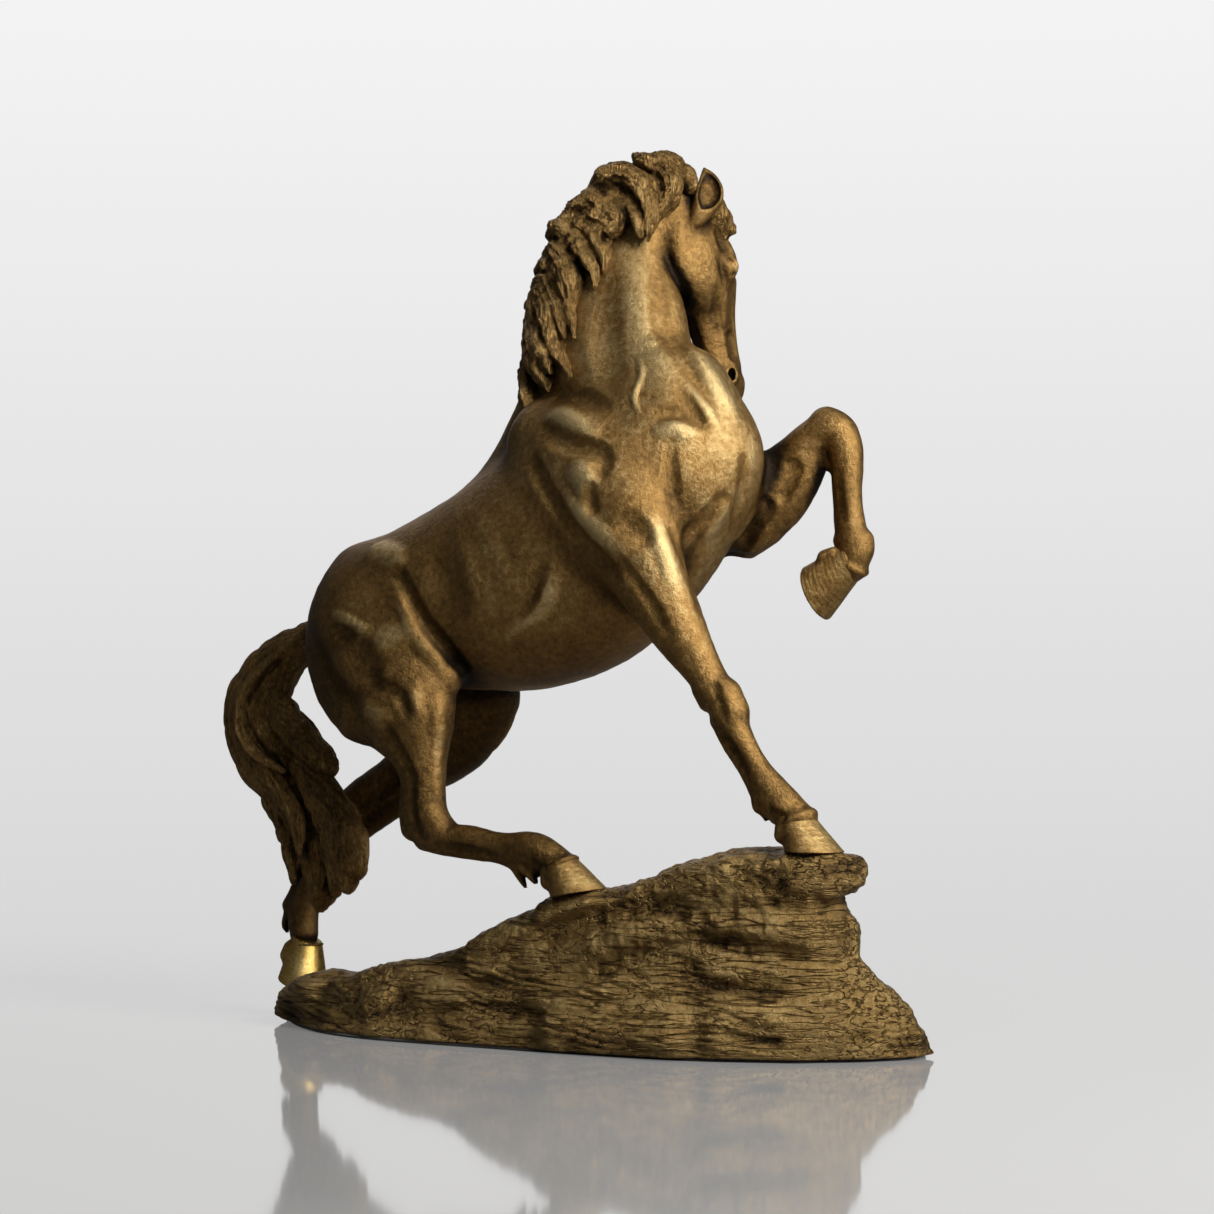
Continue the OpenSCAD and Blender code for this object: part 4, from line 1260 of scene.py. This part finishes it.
def gold_rub():
    """The rear hoof's metal, worn bright by rubbing, with painted shade in its recesses."""
    g = material_graph("hoof_gold")
    cloud, fleck = g.noise(90, 5, 0.7), g.noise(700, 5, 0.7)
    tone = g.math("ADD", g.math("MULTIPLY", cloud, 0.7), g.math("MULTIPLY", fleck, 0.5))
    # Painted shade in the recesses.
    tone = g.math("SUBTRACT", tone, g.math("MULTIPLY", recess_of(g), 0.9), clamp=True)
    colours = [(0.1, (0.06, 0.028, 0.007)), (0.4, (0.25, 0.135, 0.030)),
               (0.62, (0.55, 0.35, 0.085)), (0.9, (0.80, 0.62, 0.26))]
    return g.surface(Base_Color=g.ramp(tone, colours), Metallic=1.0,
                     Roughness=g.remap(fleck, 0.3, 0.7, 0.24, 0.42),
                     Normal=g.bump(fleck, 0.6, 0.0005))


def steel():
    """Turned steel of the studs, washers and nuts."""
    g = material_graph("steel")
    ring = g.noise(900, 3, 0.5, stretch=(1, 1, 0.1))
    colours = [(0.3, (0.36, 0.36, 0.35)), (0.7, (0.55, 0.55, 0.53))]
    return g.surface(Base_Color=g.ramp(ring, colours), Metallic=1.0,
                     Roughness=g.remap(ring, 0.3, 0.7, 0.25, 0.4), Normal=g.bump(ring, 0.4, 0.0001))


def felt_cloth():
    """Dark wool felt: matted fibres."""
    g = material_graph("felt")
    fibre = g.noise(1800, 6, 0.75)
    patchy = g.noise(120, 4, 0.6)
    mixed = g.math("ADD", g.math("MULTIPLY", fibre, 0.6), g.math("MULTIPLY", patchy, 0.4))
    colours = [(0.3, (0.006, 0.006, 0.006)), (0.7, (0.028, 0.026, 0.024))]
    return g.surface(Base_Color=g.ramp(mixed, colours), Sheen_Weight=0.3,
                     Roughness=g.remap(fibre, 0.3, 0.7, 0.85, 1.0),
                     Normal=g.bump(fibre, 0.8, 0.0004))


BRONZE = bronze("bronze", [(0.014, 0.008, 0.003), (0.10, 0.055, 0.015), (0.28, 0.160, 0.048),
                           (0.56, 0.41, 0.185)], crease_shade_and_patina=1.5)
HAIR = bronze("hair_bronze", [(0.014, 0.008, 0.003), (0.10, 0.058, 0.018), (0.28, 0.165, 0.052),
                              (0.56, 0.41, 0.18)],
              shine=(0.36, 0.54), crease_shade_and_patina=0.75, mottle=0.6, painted_light_share=0.03, strands=1.0)
HOOF = bronze("hoof_bronze", [(0.016, 0.009, 0.003), (0.10, 0.056, 0.017), (0.26, 0.150, 0.045),
                              (0.50, 0.35, 0.14)], shine=(0.40, 0.56), mottle=0.7, painted_light_share=0.05)
ROCK_METAL, GOLD, STEEL, FELT = rock_bronze(), gold_rub(), steel(), felt_cloth()


# ---------------------------------------------------------------- pieces
def finish_piece(piece, node, material):
    piece.data.materials.append(material)
    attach(piece, "root")
    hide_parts(node)
    return piece


def cast(name, clay, material, rough=0.0):
    """One closed casting from a block of clay, standing for the CAD node of its name."""
    points, quads, normals, shade = mesh_of(clay, rough)
    return finish_piece(solid(name + "_cast", points, quads, normals, shade), name, material)


# Cell of the coarse blocks that share the skin out.
OWNER_STEP = 3.0


def owner_map(strokes, low, high):
    """For each name, a coarse block with the distance to its strokes."""
    blocks = {}
    for name, stations, side in strokes:
        blocks[name] = Clay(low, high, OWNER_STEP)
        blocks[name].add(stations, blend=30, side=side)
    return blocks


BODY_BOX = ((-206, -66, 24), (164, 72, 446))
HEAD_BOX = ((14, 2, 296), (100, 92, 446))
NECK_SEAM_Z = 301
# How much nearer than the legs the trunk counts at a seam, and a distance that never wins.
SEAM_LEAD, NEVER = 2, 99


def cut_up(clay, wanted, rough):
    """The skin of a block split between the pieces it belongs to."""
    points, quads, normals, shade = mesh_of(clay, rough)
    low, high = clay.low, clay.low + clay.step * np.array(clay.field.shape)
    across = (0, 1, 0)
    strokes = [(n, s, across) for n, s in BASE_STROKES.items()]
    strokes += [("head", from_head(SKULL), HEAD_RIGHT),
                ("ear_right", ear_stroke(1), ear_way(EAR_WIDE, 1)),
                ("ear_left", ear_stroke(-1), ear_way(EAR_WIDE, -1))]
    middles = points[quads].mean(1)
    low_down = middles[:, 2] < NECK_SEAM_Z
    far = {n: block.sample(middles) for n, block in owner_map(strokes, low, high).items()}
    far["torso"] = np.where(low_down, far["torso"] - SEAM_LEAD, NEVER)
    far["neck"] = np.where(low_down, NEVER, far["neck"] - SEAM_LEAD)
    for leg in ("foreleg_right", "foreleg_left"):
        far[leg] = np.where(low_down, far[leg], NEVER)
    names = list(far)
    owner = np.argmin(list(far.values()), axis=0)
    for name in wanted:
        mine = quads[owner == names.index(name)]
        piece = patch(name + "_cast", points, mine, normals, shade, depth=3)
        finish_piece(piece, name, BRONZE)


def build_horse():
    body = Clay(*BODY_BOX, BODY_STEP)
    horse(body)
    cut_up(body, list(BASE_STROKES), rough=0.22)
    head = Clay(*HEAD_BOX, HEAD_STEP)
    horse(head)
    cut_up(head, ["head", "ear_right", "ear_left"], rough=0.10)


def build_hair():
    for name, locks in MANE.items():
        cast(name, hair(locks + FAR_MANE[name], RIGHT_SIDE), HAIR, rough=0.6)
    cast("forelock", hair(FORELOCK, RIGHT_SIDE), HAIR, rough=0.6)
    for name, locks in TAIL.items():
        clay = hair(locks, (0, 1, 0), height=0.6, twist=0.4, strays=6)
        cast(name, clay, HAIR, rough=0.2)


def build_hooves():
    for name, (sole, coronet, up) in HOOVES.items():
        slot, material = (("hoof_gold", GOLD) if name == "hoof_hind_left"
                          else ("hoof_bronze", HOOF))
        cast(name, hoof(sole, coronet, up), material, rough=0.08)


def build_rock():
    clay = rock()
    points, quads = skin(clay)
    points = on_surface(clay, relax(points, quads, 2))
    normals = outward(clay, points, 2)
    push = rock_texture(points, normals) * np.clip((points[:, 2] - FELT_T) / 3, 0, 1)
    seat = np.min([np.hypot(points[:, 0] - sole[0], points[:, 1] - sole[1])
                   for sole, _, _ in HOOVES.values()], 0)
    push *= np.clip((seat - 13) / 5, 0.15, 1)
    points = points + push[:, None] * normals
    under = points[:, 2] < FELT_T + 0.25 * ROCK_STEP
    points[under, 2] = FELT_T
    keep = ~under[quads].all(1)
    shade = np.clip(-0.26 * push, -0.1, 0.6) + 0.35 * recess(clay, points, normals, 6, 14)
    piece = patch("rock_base_cast", points, quads[keep], normals, np.clip(shade, 0, 1), depth=0)
    piece.data.normals_split_custom_set_from_vertices([(0, 0, 0)] * len(piece.data.vertices))
    finish_piece(piece, "rock_base", ROCK_METAL)


def build_felt():
    """A sheet of felt glued under the rock, cut to its foot."""
    ends = np.array([(r[0], r[1] - r[2]) for r in ROCK] + [(r[0], r[1] + r[2]) for r in ROCK[::-1]])
    outline = curve(np.vstack([ends, ends[:1]]), 6)[:-1] * 0.985
    n = len(outline)
    rings = [(0.994, 0.0), (1.0, 0.3), (1.0, 1.2), (0.994, FELT_T)]
    points = np.vstack([np.column_stack([outline * s, np.full(n, z)]) for s, z in rings])
    faces = [(r * n + i, r * n + (i + 1) % n, (r + 1) * n + (i + 1) % n, (r + 1) * n + i)
             for r in range(3) for i in range(n)]
    middle = len(points)
    points = np.vstack([points, (0, 5, 0), (0, 5, FELT_T)])
    faces += [((i + 1) % n, i, middle) for i in range(n)]
    faces += [(3 * n + i, 3 * n + (i + 1) % n, middle + 1) for i in range(n)]
    piece = solid("base_felt_sheet", points, faces)
    finish_piece(piece, "base_felt", FELT)


build_horse()
build_hair()
build_hooves()
build_rock()
build_felt()
for node in ("hoof_studs", "stud_washers", "stud_nuts"):
    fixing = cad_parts[node]
    fixing.data.materials.clear()
    fixing.data.materials.append(STEEL)


# ---------------------------------------------------------------- stage, lights and camera
FLOOR_R = 4000
FLOOR_RINGS, FLOOR_SPOKES = 24, 96
# Metres from the middle at which the floor starts to fade, and at which it has gone.
FADE = (0.5, 1.6)
# Name, place, aim, size, power, colour.
LIGHTS = [
    ("key", (1.18, -0.36, 0.82), (0, 0, 0.25), 0.6, 28, (1.0, 0.97, 0.92)),
    ("top", (0.5, -0.2, 1.9), (0, 0, 0.2), 0.9, 6, (1, 1, 1)),
    ("fill", (0.7, -2.0, 0.5), (0, 0, 0.15), 1.1, 1.1, (1.0, 0.97, 0.93)),
    ("rim", (-1.1, 0.9, 1.4), (0, 0, 0.3), 0.7, 2.5, (1, 1, 1)),
]
# Greys by the way's height, from -1 straight down to 1 straight up: the backdrop that the
# camera sees, and the dim room that the metal reflects.
BACKDROP = [(-0.20, 0.60), (-0.093, 0.672), (0.031, 0.76), (0.184, 0.88), (0.25, 0.92)]
ROOM = [(-0.25, 0.02), (-0.03, 0.06), (0.10, 0.08), (0.3, 0.08), (0.9, 0.10)]
CAMERA_PLACE = (0.892, -1.3415, 0.168)
CAMERA_WAY = (-0.5446, 0.8387, math.tan(math.radians(1.64)))
LENS = 96.1


def floor():
    """Pale glossy table top that fades into the background."""
    n = FLOOR_SPOKES
    turns = [2 * math.pi * s / n for s in range(n)]
    radii = [FLOOR_R * r / FLOOR_RINGS for r in range(1, FLOOR_RINGS + 1)]
    points = [(0, 0, 0)] + [(r * math.cos(a), r * math.sin(a), 0) for r in radii for a in turns]
    faces = [(0, 1 + s, 1 + (s + 1) % n) for s in range(n)]
    for start in range(1, 1 + (FLOOR_RINGS - 1) * n, n):
        for s in range(n):
            a, b = start + s, start + (s + 1) % n
            faces.append((a, a + n, b + n, b))
    table = solid("floor", np.array(points) - (0, 0, 0.05), faces)
    g = material_graph("pale_floor")
    lit = g.math("MULTIPLY", g.add("ShaderNodeLightPath").outputs["Is Camera Ray"], 0.12)
    g.surface(Base_Color=(0.22, 0.22, 0.22, 1), Roughness=0.06, Emission_Color=(1, 1, 1, 1),
              Emission_Strength=lit)
    apart = g.add("ShaderNodeVectorMath", operation="LENGTH")
    g.feed(apart.inputs[0], g.place)
    fade = g.remap(apart.outputs["Value"], *FADE, 0.0, 1.0)
    clear = g.add("ShaderNodeBsdfTransparent")
    out = next(n for n in g.tree.nodes if n.type == "OUTPUT_MATERIAL")
    g.feed(out.inputs["Surface"], g.mix(fade, g.shader.outputs[0], clear.outputs[0]))
    table.data.materials.append(g.owner)


def soft_box(name, place, aim, size, power, colour):
    light = bpy.data.lights.new(name, "AREA")
    light.shape, light.size, light.energy, light.color = "DISK", size, power, colour
    lamp = bpy.data.objects.new(name, light)
    lamp.location = place
    lamp.rotation_euler = (Vector(aim) - Vector(place)).to_track_quat("-Z", "Y").to_euler()
    bpy.context.scene.collection.objects.link(lamp)


def studio():
    """The backdrop for the camera and behind the statuette, and the room all round."""
    world = bpy.data.worlds.new("studio")
    bpy.context.scene.world = world
    world.use_nodes = True
    world.node_tree.nodes.clear()
    g = Graph(world)
    way = g.coordinates["Generated"]
    height = g.add("ShaderNodeSeparateXYZ", Vector=way).outputs["Z"]

    def sky(greys):
        stops = [(0.5 + spot / 2, (grey, grey, grey)) for spot, grey in greys]
        colour = g.ramp(g.math("MULTIPLY_ADD", height, 0.5, 0.5), stops)
        return g.add("ShaderNodeBackground", Color=colour, Strength=1.0).outputs[0]

    backdrop, room = sky(BACKDROP), sky(ROOM)
    behind = g.add("ShaderNodeVectorMath", operation="DOT_PRODUCT")
    g.feed_all(behind, way, (-0.54, 0.83, 0.10))
    edge = g.remap(behind.outputs["Value"], 0.945, 0.97, 0.0, 1.0)
    seen = g.add("ShaderNodeLightPath").outputs["Is Camera Ray"]
    g.add("ShaderNodeOutputWorld", Surface=g.mix(seen, g.mix(edge, room, backdrop), backdrop))


def camera():
    lens = bpy.data.cameras.new("camera")
    lens.lens, lens.sensor_width = LENS, 36
    eye = bpy.data.objects.new("camera", lens)
    eye.location = CAMERA_PLACE
    eye.rotation_euler = Vector(CAMERA_WAY).to_track_quat("-Z", "Y").to_euler()
    bpy.context.scene.collection.objects.link(eye)
    bpy.context.scene.camera = eye


floor()
studio()
for light in LIGHTS:
    soft_box(*light)
camera()
bpy.context.scene.view_settings.view_transform = "Standard"
